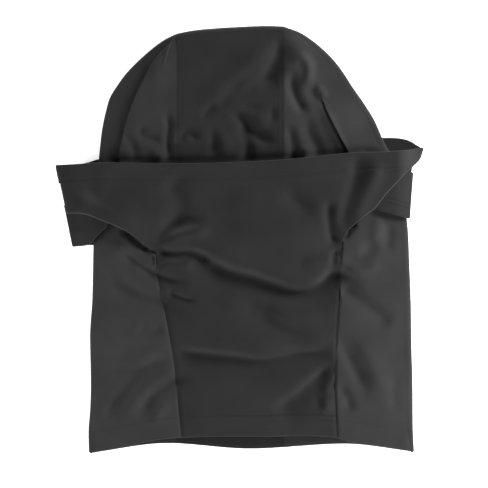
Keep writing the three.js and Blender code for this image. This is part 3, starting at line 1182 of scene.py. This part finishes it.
@dataclass
class CrownPanel:
    """The strip from the brow over the crown and down the back to the neck hem."""

    lie: Lie
    relief: Relief

    def brow(self, x: Array) -> Array:
        """Finds the top of the face opening.

        Args:
            x: places across the garment.

        Returns:
            The opening's y at each place.
        """
        lie = self.lie
        middle = (lie.hinge_left[0] + lie.hinge_right[0]) / 2
        half = (lie.hinge_right[0] - lie.hinge_left[0]) / 2
        foot = np.where(x < middle, lie.hinge_left[1], lie.hinge_right[1])
        return foot + (lie.brow - foot) * np.sqrt(1 - ((x - middle) / half) ** 2)

    def surface(self, u: Array, s: Array) -> tuple[Array, Array, Array]:
        """Maps the share of the way across, and a step count along, to a place.

        Args:
            u: from 0 at the left seam to 1 at the right.
            s: 0 to 1 up the front, 1 to 2 over the crown, and on down the back to 3, after which
                it is the distance up from the hem that shortens.

        Returns:
            The x, y and z of the outer face.
        """
        lie = self.lie
        x = mix(lie.crown_left, lie.crown_right, u)
        edge, radius = lie.crown_edge(x), lie.depth(np.full_like(x + s, 150.0)) / 2
        angle = mix(math.pi / 2, -math.pi / 2, np.clip(s - 1, 0, 1))
        front = mix(self.brow(x), edge - radius, np.clip(s, 0, 1))
        back = mix(edge - radius, lie.hem_back(x), np.clip(s - 2, 0, 1))
        y = np.select([s < 1, s < 2], [front, edge - radius + radius * np.cos(angle)], back)
        middle = lie.raised(y) + lie.depth(y) / 2
        level = middle + lie.depth(y) / 2 + self.relief.at(x + 0 * y, y) * ramp(edge - y, 3, 16)
        z = np.select([s < 1, s < 2], [level, middle + radius * np.sin(angle)],
                      middle - lie.depth(y) / 2)
        return x + 0 * y, y, z

    def build(self, name: str) -> bpy.types.Object:
        """Makes the panel, with its neck hem turned up inside.

        Args:
            name: of the piece.

        Returns:
            The piece.
        """
        length = self.lie.rise
        hem = spread((NECK_HEM, TURN, 6), (TURN, -TURN, 6), (-TURN, -NECK_HEM, 6))
        away, under = turned(hem, TURN)
        steps = spread((0, 0.9, 70), (0.9, 1, 6), (1, 2, 14), (2, 3 - NECK_HEM / length, 130))
        rows = np.concatenate([steps[:-1], 3 - away / length])
        row_under = np.concatenate([np.zeros(len(steps) - 1), under])
        columns = np.linspace(0, 1, 50)
        return cloth_piece(name, [lay(self.surface, columns, rows, row_under, wrap=0)])

    def line(self, u: Array, s: Array, proud: float) -> Array:
        """Traces a line on the panel for stitches."""
        return on_surface(self.surface, u, s, proud)


@dataclass
class FrontCloth:
    """The front of the neck and the mask, one cloth that widens above the front seams.

    Attributes:
        lie: how the garment lies.
        relief: the cloth's creases.
        ear_level: height of the mask's outer face at its two ears.
        ear_turn: radius at which the ears turn under.
        fold_turn: radius at which the wings' lower edges turn under.
        fold_tuck: depth of the ply under those edges.
        lap: over the side panels.
        stand: of the mask above the tube.
        width: of the mask from ear to ear.
        length: of the neck from its hem to the hinges.
        step: from one column of the grid to the next.
        share_left: share of the mask's width at which its left wing ends.
        share_right: share at which its right wing starts.
        top_edge: of the mask.
        left_fold: the lower edge of the left wing, from the ear to the hinge.
        right_fold: the lower edge of the right wing, from the hinge to the ear.
    """

    lie: Lie
    relief: Relief
    ear_level: float = 5.6
    ear_turn: float = 2.2
    fold_turn: float = 2.2
    fold_tuck: float = 9.0
    lap: float = 0.6
    stand: float = 7.5
    width: float = 300.0
    length: float = 152.0
    step: float = 1.9
    share_left: float = 0.25
    share_right: float = 0.79
    top_edge: Curve = field(
        default_factory=lambda: Curve(
            [(-151, 61.0), (-134, 61.6), (-116, 62.4), (-57, 61.4), (25, 64), (57, 66.6), (82, 69.6),
             (119, 71.3), (136, 72.6), (150, 75.2)]
        )
    )
    left_fold: Points = (
        (-143.5, 20.5), (-134, 20.8), (-124.6, 19.2), (-114.8, 15.4), (-102.5, 10.6), (-91.8, 5.6),
        (-82, -1.2), (-74, -8.0), (-69, -11.0),
    )
    right_fold: Points = (
        (83.5, -1.0), (88, 6.5), (97, 14.5), (110, 24.6), (119, 36), (131, 48.5), (148.5, 64.5),
    )

    def level(self, x: Array, y: Array) -> Array:
        """Finds the height of the cloth's outer face.

        Args:
            x: places across.
            y: places along.

        Returns:
            The height at each place.
        """
        lie = self.lie
        base = lie.raised(y) + lie.depth(y)
        left, right = lie.seam_left(y), lie.seam_right(y)
        from_seam = np.maximum(np.minimum(x - left, right - x), 0)
        inner = ramp(from_seam, 0.0, 26.0)
        centre = ramp(y, -46, 26) * mix(ramp(y, -10, 18), 1.0, inner)
        wing = np.maximum(ramp(lie.hinge_left[0] - x, 0, 30), ramp(x - lie.hinge_right[0], 0, 26))
        stand = self.stand * (1 - (1 - centre) * (1 - wing))
        plump = 1.6 * inner * (1 - ramp(y, -60, 0)) * ramp(y, -172, -120)
        level = base + stand + plump
        outside = ramp(-x, 108, 150) + ramp(x, 128, 152)
        edge = 1 - ramp(np.abs(x), 136, 149)
        groove = -1.15 * np.exp(-((from_seam / 1.2) ** 2)) * (1 - ramp(y, -12, -4))
        hems = hem_step(y - lie.hem_front(x), lie.stitch_row)
        from_top = self.top_edge(x) - y
        flare = 1.3 * np.exp(-((from_top / 5.5) ** 2)) * (1 - ramp(np.abs(x), 90, 130))
        hems = hems + hem_step(from_top, lie.stitch_row) + flare
        return mix(level, self.ear_level, outside) + self.relief.at(x, y) * edge + groove + hems

    def normals(self, x: Array, y: Array) -> Array:
        """Finds which way the outer face looks.

        Args:
            x: places across.
            y: places along.

        Returns:
            Unit normals along the last axis.
        """
        step = 0.2
        slope_x = (self.level(x + step, y) - self.level(x - step, y)) / (2 * step)
        slope_y = (self.level(x, y + step) - self.level(x, y - step)) / (2 * step)
        normal = np.stack([-slope_x, -slope_y, np.ones_like(slope_x)], -1)
        return normal / np.linalg.norm(normal, axis=-1, keepdims=True)

    def top(self, a: Array) -> tuple[Array, Array]:
        """Finds the mask's top edge.

        Args:
            a: share of the mask's width.

        Returns:
            The x and the y of each place.
        """
        knots = [0, self.share_left, self.share_right, 1]
        x = np.interp(a, knots, [-151.6, -75.0, 88.0, 151.2])
        return x, self.top_edge(x)

    def foot(self, a: Array) -> tuple[Array, Array]:
        """Finds where the mask folds under, or where it runs on into the neck.

        Args:
            a: share of the mask's width.

        Returns:
            The x and the y of each place.
        """
        left = along_path(self.left_fold, a / self.share_left)
        right = along_path(self.right_fold, (a - self.share_right) / (1 - self.share_right))
        s = (a - self.share_left) / (self.share_right - self.share_left)
        x, y = self.neck(np.clip(s, 0, 1), np.ones_like(a))
        wings = [a <= self.share_left, a >= self.share_right]
        return (np.select(wings, [left[..., 0], right[..., 0]], x),
                np.select(wings, [left[..., 1], right[..., 1]], y))

    def neck(self, s: Array, t: Array) -> tuple[Array, Array]:
        """Finds places on the neck.

        Args:
            s: share of the way across.
            t: share of the way up from the hem.

        Returns:
            The x and the y of each place.
        """
        lie = self.lie
        x_hem = mix(lie.seam_left(lie.hem_level), lie.seam_right(lie.hem_level), s)
        y = mix(lie.hem_front(x_hem), mix(lie.hinge_left[1], lie.hinge_right[1], s), t)
        lap = self.lap * np.clip(12 * (1 - t), 0, 1)
        return mix(lie.seam_left(y) - lap, lie.seam_right(y) + lap, s), y

    def between(self, a: Array, d: Array) -> tuple[Array, Array]:
        """Finds places on the mask.

        Args:
            a: share of the mask's width.
            d: distance below its top edge.

        Returns:
            The x and the y of each place.
        """
        (x0, y0), (x1, y1) = self.top(a), self.foot(a)
        share = d / np.hypot(x1 - x0, y1 - y0)
        return mix(x0, x1, share), mix(y0, y1, share)

    def raise_up(self, x: Array, y: Array, under: Array) -> Patch:
        """Gives plane places their height, and sets turned plies under the face."""
        places = np.stack([x, y, self.level(x, y)], -1) - self.normals(x, y) * under[..., None]
        return woven(places)

    def mask_columns(self, low: float, high: float) -> tuple[Array, Array]:
        """Spaces the columns of one stretch of the mask.

        Args:
            low: share of the width at which the stretch starts.
            high: share at which it ends.

        Returns:
            Each column's share of the width, and how deep it is turned under at an ear.
        """
        ear = spread((-5, -self.ear_turn, 3), (-self.ear_turn, self.ear_turn, 7))
        away, curl = turned(ear, self.ear_turn)
        away, curl = away[:-1] / self.width, curl[:-1]
        steps = max(int((high - low) * self.width / self.step), 8)
        inner_low = low + (self.ear_turn / self.width if low == 0 else 0)
        inner_high = high - (self.ear_turn / self.width if high == 1 else 0)
        a, under = np.linspace(inner_low, inner_high, steps), np.zeros(steps)
        if low == 0:
            a, under = np.append(away, a), np.append(curl, under)
        if high == 1:
            a, under = np.append(a, 1 - away[::-1]), np.append(under, curl[::-1])
        return a, under

    def mask_patch(self, low: float, high: float) -> Patch:
        """Lays one stretch of the mask, from its hem down to its fold or the neck.

        Args:
            low: share of the width at which the stretch starts.
            high: share at which it ends.

        Returns:
            The grid, with ears and fold turned under where the stretch has them.
        """
        a, column_under = self.mask_columns(low, high)
        (x0, y0), (x1, y1) = self.top(a), self.foot(a)
        length = np.hypot(x1 - x0, y1 - y0)
        wing = low == 0 or high == 1
        hinge = self.lie.hinge_left if low == 0 else self.lie.hinge_right
        from_hinge = np.hypot(x1 - hinge[0], y1 - hinge[1])
        radius = ramp(from_hinge, 0, 5) * mix(1.0, self.fold_turn, ramp(from_hinge, 5, 40)) * wing
        edge = (length - radius)[None, :]
        hem_end = 6.0
        hem = spread((-MASK_HEM, -TURN, 7), (-TURN, TURN, 6), (TURN, hem_end, 4))
        hem_away, hem_under = turned(hem, TURN)
        g = np.linspace(0, 1, 44)[1:, None]
        rows = [np.minimum(hem_away[:, None], edge), hem_end + (edge - hem_end) * g]
        unders = [np.repeat(hem_under[:, None], len(a), 1), np.zeros((len(g), len(a)))]
        if wing:
            angle = np.linspace(0, math.pi, 8)[1:, None]
            back = np.linspace(0, 1, 6)[1:, None]
            rows += [edge + radius * np.sin(angle),
                     edge - self.fold_tuck * ramp(from_hinge, 0, 30) * back]
            unders += [radius * (1 - np.cos(angle)), np.repeat(2 * radius[None, :], len(back), 0)]
        d = np.maximum(np.vstack(rows), 0)
        under = np.maximum(np.vstack(unders), column_under[None, :])
        x, y = self.between(np.repeat(a[None, :], len(d), 0), d)
        patch = self.raise_up(x, y, under)
        return Patch(patch.places[::-1], patch.weave[::-1])

    def neck_patch(self, columns: int) -> Patch:
        """Lays the neck between the front seams, with its hem turned up inside.

        Args:
            columns: how many there are across.

        Returns:
            The grid.
        """
        hem_end, rows = 20.0, 76
        hem = spread((-NECK_HEM, -TURN, 6), (-TURN, TURN, 6), (TURN, hem_end, 10))
        away, under = turned(hem, TURN)
        above = np.linspace(hem_end / self.length, 1, rows)
        t = np.concatenate([away[:-1] / self.length, above])
        s, t = np.meshgrid(np.linspace(0, 1, columns), t)
        x, y = self.neck(s, t)
        under = np.concatenate([under[:-1], np.zeros(rows)])[:, None]
        return self.raise_up(x, y, np.repeat(under, columns, 1))

    def build(self, name: str) -> bpy.types.Object:
        """Makes the cloth.

        Args:
            name: of the piece.

        Returns:
            The piece.
        """
        columns = len(self.mask_columns(self.share_left, self.share_right)[0])
        patches = [
            self.mask_patch(0, self.share_left),
            self.mask_patch(self.share_left, self.share_right),
            self.mask_patch(self.share_right, 1),
            self.neck_patch(columns),
        ]
        return cloth_piece(name, patches)

    def line(self, x: Array, y: Array, proud: float) -> Array:
        """Traces a line on the outer face for stitches.

        Args:
            x: places across.
            y: places along.
            proud: how far the line lies above the face.

        Returns:
            Places and normals side by side, six numbers to a row.
        """
        normal = self.normals(x, y)
        places = np.stack([x, y, self.level(x, y)], -1) + normal * proud
        return np.concatenate([places, normal], -1)

    def hem_row(self, down: float) -> Array:
        """Traces a row of stitches along the mask's top hem.

        Args:
            down: from the top edge to the row.

        Returns:
            Places and normals side by side, six numbers to a row.
        """
        a = np.linspace(0.004, 0.996, 400)
        x, y = self.between(a, np.full_like(a, down))
        return self.line(x, y, THREAD_PROUD)

    def neck_row(self, up: float) -> Array:
        """Traces a row of stitches along the neck hem.

        Args:
            up: from the hem's edge to the row.

        Returns:
            Places and normals side by side, six numbers to a row.
        """
        s = np.linspace(0.003, 0.997, 200)
        x, y = self.neck(s, np.full_like(s, up / self.length))
        return self.line(x, y, THREAD_PROUD)


# ---------------------------------------------------------------------------------------------
# The mask's other cloths
# ---------------------------------------------------------------------------------------------


@dataclass
class WingUnderside:
    """The mask's lower layer, which shows below the fold of a wing.

    Attributes:
        hem: the line of its lower edge.
        hidden: a line that it goes up to, under the wing.
        level: its height at each x.
    """

    hem: Points
    hidden: Points
    level: Curve

    def surface(self, u: Array, d: Array) -> tuple[Array, Array, Array]:
        """Maps places on the layer to places in the frame.

        Args:
            u: share of the way across.
            d: distance up from the hem.

        Returns:
            The x, y and z of the outer face.
        """
        low, high = along_path(self.hem, u), along_path(self.hidden, u)
        share = d / np.hypot(*(high - low).transpose(2, 0, 1))
        place = mix(low, high, np.minimum(share, 1)[..., None])
        return place[..., 0], place[..., 1], self.level(place[..., 0]) + 0.35 * np.sin(d / 5.0)

    def build(self, name: str) -> bpy.types.Object:
        """Makes the cloth, with its hem turned up behind.

        Args:
            name: of the piece.

        Returns:
            The piece.
        """
        hem = spread((-WING_HEM, -TURN, 6), (-TURN, TURN, 6), (TURN, 40, 24))
        away, under = turned(hem, TURN)
        columns = np.linspace(0, 1, 36)
        return cloth_piece(name, [lay(self.surface, columns, away, under)])

    def row(self, up: float) -> Array:
        """Traces a row of stitches at a distance above the hem."""
        u = np.linspace(0.02, 0.98, 60)
        return on_surface(self.surface, u, np.full_like(u, up), THREAD_PROUD)


@dataclass
class BackBand:
    """The back of the mask, which lies under the tube.

    Attributes:
        left_edge: x of its left end at each height.
        right_edge: x of its right end at each height.
        top_edge: y of its top edge across the garment.
        bottom_edge: y of its lower edge across the garment.
        height: from one edge to the other.
        level: height of its outer face.
    """

    left_edge: Curve
    right_edge: Curve
    top_edge: Curve
    bottom_edge: Curve
    height: float = 85.0
    level: float = 0.05

    def surface(self, u: Array, d: Array) -> tuple[Array, Array, Array]:
        """Maps places on the band to places in the frame.

        Args:
            u: share of the way across.
            d: distance down from the top edge.

        Returns:
            The x, y and z of the face that looks into the garment.
        """
        x = mix(self.left_edge(75.0), self.right_edge(75.0), u)
        top, bottom = self.top_edge(x), self.bottom_edge(x)
        y = top - d * (top - bottom) / self.height
        x = mix(self.left_edge(y), self.right_edge(y), u)
        return x, y, self.level + 0.0 * x

    def build(self, name: str) -> bpy.types.Object:
        """Makes the cloth, with both its hems turned in.

        Args:
            name: of the piece.

        Returns:
            The piece.
        """
        top = spread((-MASK_HEM, -TURN, 5), (-TURN, TURN, 6), (TURN, self.height - TURN, 40))
        bottom = spread((TURN, -TURN, 6), (-TURN, -WING_HEM, 5))
        away, under = turned(top, TURN)
        low_away, low_under = turned(bottom, TURN)
        rows = np.concatenate([away[:-1], self.height - low_away])
        unders = np.concatenate([under[:-1], low_under])
        columns = np.linspace(0, 1, 100)
        return cloth_piece(name, [lay(self.surface, columns, rows, unders)])

    def row(self, down: float) -> Array:
        """Traces a row of stitches at a distance below the top edge."""
        u = np.linspace(0.01, 0.99, 200)
        return on_surface(self.surface, u, np.full_like(u, down), 0.0)


# ---------------------------------------------------------------------------------------------
# The edge of the face opening
# ---------------------------------------------------------------------------------------------


@dataclass
class OpeningEdge:
    """The binding that is folded over the edge of the face opening, with elastic in its fold.

    Attributes:
        lie: how the garment lies.
        relief: the creases of the hood around it.
        width: of each side of the binding.
        roll: radius of its fold.
        proud: how far it stands above the hood.
        tucked: how far its two ends go down, under the mask's hinges.
    """

    lie: Lie
    relief: Relief
    width: float = 7.0
    roll: float = 1.3
    proud: float = 0.85
    tucked: float = 3.2

    def surface(self, u: Array, out: Array) -> tuple[Array, Array, Array]:
        """Maps places on the binding to places in the frame.

        Args:
            u: share of the way round, from the left hinge to the right one.
            out: distance out from the opening.

        Returns:
            The x, y and z of the outer face.
        """
        lie = self.lie
        middle = (lie.hinge_left[0] + lie.hinge_right[0]) / 2
        half = (lie.hinge_right[0] - lie.hinge_left[0]) / 2
        angle = math.pi * (1 - u)
        foot = mix(lie.hinge_left[1], lie.hinge_right[1], ramp(u, 0.2, 0.8))
        tall = lie.brow - foot
        away = np.stack([np.cos(angle) / half, np.sin(angle) / tall], -1)
        away = away / np.linalg.norm(away, axis=-1, keepdims=True)
        x = middle + half * np.cos(angle) + away[..., 0] * out
        y = foot + tall * np.sin(angle) + away[..., 1] * out
        ends = 2 - ramp(u, 0.0, 0.10) - ramp(1 - u, 0.0, 0.10)
        level = lie.raised(y) + lie.depth(y) + self.relief.at(x, y)
        return x, y, level + self.proud - self.tucked * ends

    def build(self, name: str) -> bpy.types.Object:
        """Makes the binding.

        Args:
            name: of the piece.

        Returns:
            The piece.
        """
        fold = spread((-self.width, -self.roll, 4), (-self.roll, self.roll, 8),
                      (self.roll, self.width, 5))
        away, under = turned(fold, self.roll)
        columns = np.linspace(0.015, 0.985, 130)
        return cloth_piece(name, [lay(self.surface, columns, away - self.roll, under)], 0.7)

    def elastic(self, name: str) -> bpy.types.Object:
        """Makes the elastic in the fold.

        Args:
            name: of the piece.

        Returns:
            The piece.
        """
        rows = np.linspace(-0.5, -0.05, 2)
        under = np.full(2, self.roll - 0.2)
        columns = np.linspace(0.02, 0.98, 100)
        return cloth_piece(name, [lay(self.surface, columns, rows, under)], 0.4)


# ---------------------------------------------------------------------------------------------
# The studio
# ---------------------------------------------------------------------------------------------


@dataclass(frozen=True)
class Studio:
    """A white table under soft light, with the camera straight above it."""

    middle: tuple[float, float] = (0.0033, -0.0041)
    height: float = 1.6
    seen: float = 0.400  # width of the table that the camera takes in
    garment: float = 0.012  # height of the garment's face, which is in focus
    floor: float = 1.3
    clearance: float = 0.0003

    def camera(self) -> None:
        """Puts the camera over the garment."""
        data = bpy.data.cameras.new("camera")
        data.sensor_width = 36.0
        data.lens = data.sensor_width * (self.height - self.garment) / self.seen
        camera = bpy.data.objects.new("camera", data)
        camera.location = (*self.middle, self.height)
        bpy.context.collection.objects.link(camera)
        bpy.context.scene.camera = camera

    def table(self) -> None:
        """Lays the table that the garment is on."""
        bm = bmesh.new()
        bmesh.ops.create_grid(bm, x_segments=1, y_segments=1, size=self.floor / 2)
        floor = finished("table", bm)
        floor.location.z = -self.clearance
        material = bpy.data.materials.new("white table")
        material.use_nodes = True
        shader = material.node_tree.nodes["Principled BSDF"]
        shader.inputs["Base Color"].default_value = (0.93, 0.93, 0.93, 1)
        shader.inputs["Emission Color"].default_value = (1, 1, 1, 1)
        shader.inputs["Emission Strength"].default_value = 0.6
        shader.inputs["Roughness"].default_value = 0.9
        shader.inputs["Specular IOR Level"].default_value = 0.0
        floor.data.materials.append(material)

    def lamp(self, name: str, place: tuple[float, float, float], size: float, power: float) -> None:
        """Hangs a square lamp that faces the garment.

        Args:
            name: of the lamp.
            place: where it hangs, in metres.
            size: of its side, in metres.
            power: in watts.
        """
        data = bpy.data.lights.new(name, "AREA")
        data.energy = power
        data.size = size
        lamp = bpy.data.objects.new(name, data)
        lamp.location = place
        lamp.visible_camera = False
        lamp.rotation_euler = (-Vector(place)).to_track_quat("-Z", "Y").to_euler()
        bpy.context.collection.objects.link(lamp)

    def light(self) -> None:
        """Lights the garment from the upper right, and softly from all round."""
        self.lamp("key", (0.68, 0.40, 0.35), 0.35, 13.4)
        self.lamp("fill", (-0.44, -0.12, 0.17), 0.3, 2.2)
        self.lamp("front", (0.36, -0.50, 0.25), 0.35, 5.3)
        world = bpy.data.worlds.new("studio")
        world.use_nodes = True
        nodes = Nodes(world.node_tree)
        around, seen = world.node_tree.nodes["Background"], nodes.add("Background")
        around.inputs["Color"].default_value = (1, 1, 1, 1)
        around.inputs["Strength"].default_value = 0.29
        seen.inputs["Color"].default_value = (1, 1, 1, 1)
        seen.inputs["Strength"].default_value = 1.1
        path, either = nodes.add("LightPath"), nodes.add("MixShader")
        nodes.join(path.outputs["Is Camera Ray"], either.inputs[0])
        nodes.join(around.outputs[0], either.inputs[1])
        nodes.join(seen.outputs[0], either.inputs[2])
        nodes.join(either.outputs[0], world.node_tree.nodes["World Output"].inputs[0])
        scene = bpy.context.scene
        scene.world = world
        scene.view_settings.view_transform = "Standard"

    def build(self) -> None:
        """Sets everything up."""
        self.camera()
        self.table()
        self.light()


# ---------------------------------------------------------------------------------------------
# Putting it together
# ---------------------------------------------------------------------------------------------


class Wardrobe:
    """Gives pieces their finishes, their bodies and the nodes that they stand for."""

    def __init__(self) -> None:
        """Makes every finish once."""
        group = knit_group()
        # Partly painted light: the front knit is darker for the shade on the middle, the side knit
        # lighter.
        front = KnitFinish("front knit", (0.0054, 0.0053, 0.0054), (0.0166, 0.0163, 0.0165))
        side = KnitFinish("side knit", (0.0090, 0.0088, 0.0090), (0.0280, 0.0275, 0.0278))
        rib = KnitFinish("binding knit", (0.012, 0.012, 0.013), (0.034, 0.034, 0.036), 1500.0)
        self.finish = {
            Slot.FRONT: front.material(group),
            Slot.MASK: replace(front, name="mask knit").material(group),
            Slot.SIDE: side.material(group),
            Slot.BINDING: rib.material(group),
            Slot.ELASTIC: ThreadFinish("elastic", (0.02, 0.02, 0.02)).material(),
            Slot.THREAD: ThreadFinish("thread", (0.011, 0.011, 0.0113)).material(),
        }

    def dress(self, piece: bpy.types.Object, slot: Slot, nodes: list[str]) -> None:
        """Gives a piece its finish and hides the nodes that it stands for.

        Args:
            piece: the piece.
            slot: its material slot.
            nodes: the names of the frame's nodes that it replaces.
        """
        piece.data.materials.clear()
        piece.data.materials.append(self.finish[slot])
        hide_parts(*nodes)
        log.info("%s: %d faces, for %s", piece.name, len(piece.data.polygons), ", ".join(nodes))

    def hang(self, piece: bpy.types.Object, body: Body | None, slot: Slot, *nodes: str) -> None:
        """Dresses a piece and lets it ride.

        Args:
            piece: the piece.
            body: that it rides on, or None for a piece that spans both, which is left on neither.
            slot: its material slot.
            nodes: the names of the frame's nodes that it replaces.
        """
        self.dress(piece, slot, list(nodes))
        if body is None:
            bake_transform(piece)
        else:
            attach(piece, body.value)


class Balaclava:
    """The whole garment."""

    def __init__(self) -> None:
        """Lays out its parts."""
        self.lie = Lie()
        self.wardrobe = Wardrobe()
        self.left = SidePanel(
            -1,
            self.lie,
            Relief(HOOD_CREASES + LEFT_CREASES + NECK_CREASES),
            Curve([(-160, -90), (-60, -95), (20, -100), (69, -98), (89, -94), (114, -86), (139, -74),
                   (163, -60)]),
            Curve([(8, 0), (40, 1), (142, 1), (165, 0)]),
            inner_over=True,
            tuck=9.0,
        )
        self.right = SidePanel(
            1,
            self.lie,
            Relief(HOOD_CREASES + RIGHT_CREASES + NECK_CREASES),
            Curve([(-60, 104), (20, 100), (69, 90), (82, 83.5), (95, 76.5), (114, 67)]),
            Curve([(22, 0), (50, 1), (95, 1), (117, 0)]),
            inner_over=False,
            tuck=8.0,
        )
        self.crown = CrownPanel(self.lie, Relief(HOOD_CREASES))
        self.front = FrontCloth(self.lie, Relief(FRONT_CREASES + NECK_CREASES))
        self.wing_left = WingUnderside(
            [(-138, -6.5), (-130, -5.8), (-123.5, -4.5), (-119.5, -0.5), (-115.5, 4), (-109, 9.5)],
            [(-145, 27), (-126, 27), (-108, 22)],
            Curve([(-144, 3.0), (-134, 7.0), (-124.6, 11.2), (-118, 13.8), (-108, 15.8)]),
        )
        self.wing_right = WingUnderside(
            [(110, 24.6), (124, 20.5), (139.5, 16.5)],
            [(118, 64), (131, 62), (142.5, 54)],
            Curve([(108, 16.8), (122, 16.3), (129, 15.4), (134, 13.3), (140, 9.6), (145, 5.4)]),
        )
        self.band = BackBand(
            Curve([(-5, -134), (7.4, -139), (20.5, -142), (32, -143.5), (46, -146.5), (61.5, -149)]),
            Curve([(17, 137), (32, 138.5), (46, 140.5), (60, 142.5), (75, 148.5)]),
            Curve([(-149, 60), (-138, 61), (-126, 63), (-116, 66), (-60, 72), (0, 76), (60, 80),
                   (116, 83.5), (139, 81.5), (148, 76)]),
            Curve([(-149, -5), (-134, -5), (0, -2), (100, 12), (137, 17), (149, 17)]),
        )
        self.edge = OpeningEdge(self.lie, Relief(HOOD_CREASES))

    def hood(self) -> None:
        """Makes the hood and the neck."""
        hang = self.wardrobe.hang
        hang(self.crown.build("crown_and_back_cloth"), Body.HOOD, Slot.FRONT,
             "crown_and_back_panel", "neck_hem_back")
        for panel, side in ((self.left, "left"), (self.right, "right")):
            hang(panel.build(f"{side}_side_cloth"), Body.HOOD, Slot.SIDE,
                 f"{side}_side_panel", f"neck_hem_{side}")
        hang(self.edge.build("face_opening_edge"), Body.HOOD, Slot.BINDING, "face_opening_binding")
        hang(self.edge.elastic("face_opening_strip"), Body.HOOD, Slot.ELASTIC,
             "face_opening_elastic")

    def mask(self) -> None:
        """Makes the mask and the front of the neck."""
        hang = self.wardrobe.hang
        hang(self.front.build("front_and_mask_cloth"), None, Slot.FRONT,
             "front_neck_panel", "neck_hem_front", "mask_front_panel", "mask_top_hem_front")
        hang(self.band.build("mask_back_cloth"), Body.MASK, Slot.MASK,
             "mask_back_band", "mask_top_hem_back", "mask_lower_hem_back")
        hang(self.wing_left.build("mask_wing_left_cloth"), Body.MASK, Slot.MASK,
             "mask_lower_hem_left")
        hang(self.wing_right.build("mask_wing_right_cloth"), Body.MASK, Slot.MASK,
             "mask_lower_hem_right")

    def sew(self, name: str, rows: list[Array], body: Body | None, stitch: Stitch, node: str) -> None:
        """Sews one group of stitches.

        Args:
            name: of the piece.
            rows: the lines to sew along.
            body: that the stitches ride on, or None for those on the front cloth, left on neither.
            stitch: what each stitch is like.
            node: the frame's node that they stand for.
        """
        piece = stitched_rows(name, rows, stitch)
        self.wardrobe.hang(piece, body, Slot.THREAD, node)

    def hem_stitches(self) -> None:
        """Sews the hems: with two needles, except where the back's lower hem hides one row."""
        plain = Stitch()
        ups = (self.lie.stitch_row, self.lie.stitch_row + NEEDLES)
        self.sew("neck_stitches_front", [self.front.neck_row(up) for up in ups],
                 None, plain, "neck_coverstitch_front")
        for panel, side in ((self.left, "left"), (self.right, "right")):
            u = np.linspace(0.01, 0.62, 160)
            rows = [panel.line(u, np.full_like(u, up), THREAD_PROUD) for up in ups]
            self.sew(f"neck_stitches_{side}", rows, Body.HOOD, plain, f"neck_coverstitch_{side}")
        u = np.linspace(0.02, 0.98, 60)
        rows = [self.crown.line(u, np.full_like(u, 3 - up / self.lie.rise), -0.1) for up in ups]
        self.sew("neck_stitches_back", rows, Body.HOOD, plain, "neck_coverstitch_back")
        self.sew("mask_top_stitches_front", [self.front.hem_row(down) for down in ups],
                 Body.MASK, plain, "mask_top_coverstitch_front")
        self.sew("mask_top_stitches_back", [self.band.row(down) for down in ups],
                 Body.MASK, plain, "mask_top_coverstitch_back")
        self.sew("mask_lower_stitches_back", [self.band.row(self.band.height - 9.5)], Body.MASK,
                 plain, "mask_lower_coverstitch_back")
        self.sew("mask_lower_stitches_left", [self.wing_left.row(12.0), self.wing_left.row(14.6)],
                 Body.MASK, plain, "mask_lower_coverstitch_left")
        self.sew("mask_lower_stitches_right", [self.wing_right.row(8.6), self.wing_right.row(12.2)],
                 Body.MASK, plain, "mask_lower_coverstitch_right")

    def seam_stitches(self) -> None:
        """Sews every seam."""
        flat = Stitch(length=1.5, gauge=0.34, pitch=1.9)
        fine = Stitch(length=1.2, gauge=0.3, pitch=1.7)
        s = np.linspace(0.02, 1.6, 200)
        down = np.linspace(2.05, 2.94, 300)
        y = np.linspace(-146, -14, 220)
        width = self.lie.crown_right - self.lie.crown_left
        for side, share, inward, seam in (("left", 0.0, 1, self.lie.seam_left),
                                          ("right", 1.0, -1, self.lie.seam_right)):
            rows = [self.crown.line(share + inward * off / width + 0 * s, s, 0.06)
                    for off in (1.6, 4.9)]
            self.sew(f"crown_seam_stitches_{side}", rows, Body.HOOD, flat,
                     f"crown_seam_flatlock_{side}")
            rows = [self.crown.line(share + inward * 2.0 / width + 0 * down, down, -0.1)]
            self.sew(f"back_seam_stitches_{side}", rows, Body.HOOD, flat,
                     f"back_seam_flatlock_{side}")
            rows = [self.front.line(seam(y) + inward * 2.6, y, 0.03)]
            self.sew(f"front_seam_stitches_{side}", rows, None, fine, f"front_seam_flatlock_{side}")

    def bartacks(self) -> None:
        """Sews the short dense bars at the lower corners of the face opening."""
        bar = Stitch(length=2.4, gauge=0.4, pitch=0.5, slant=80.0)
        for panel, side, hinge in ((self.left, "left", self.lie.hinge_left),
                                   (self.right, "right", self.lie.hinge_right)):
            d = np.linspace(0, 7, 20) + hinge[1] - self.lie.hem_level - 8.5
            rows = [panel.line(np.full_like(d, 0.02), d, 0.1)]
            self.sew(f"bartack_stitches_{side}", rows, Body.HOOD, bar, f"bartack_{side}")


def main() -> None:
    """Builds the garment and its studio."""
    logging.basicConfig(level=logging.INFO, format="%(name)s: %(message)s")
    Studio().build()
    garment = Balaclava()
    garment.hood()
    garment.mask()
    garment.hem_stitches()
    garment.seam_stitches()
    garment.bartacks()


if __name__ == "__main__":
    main()
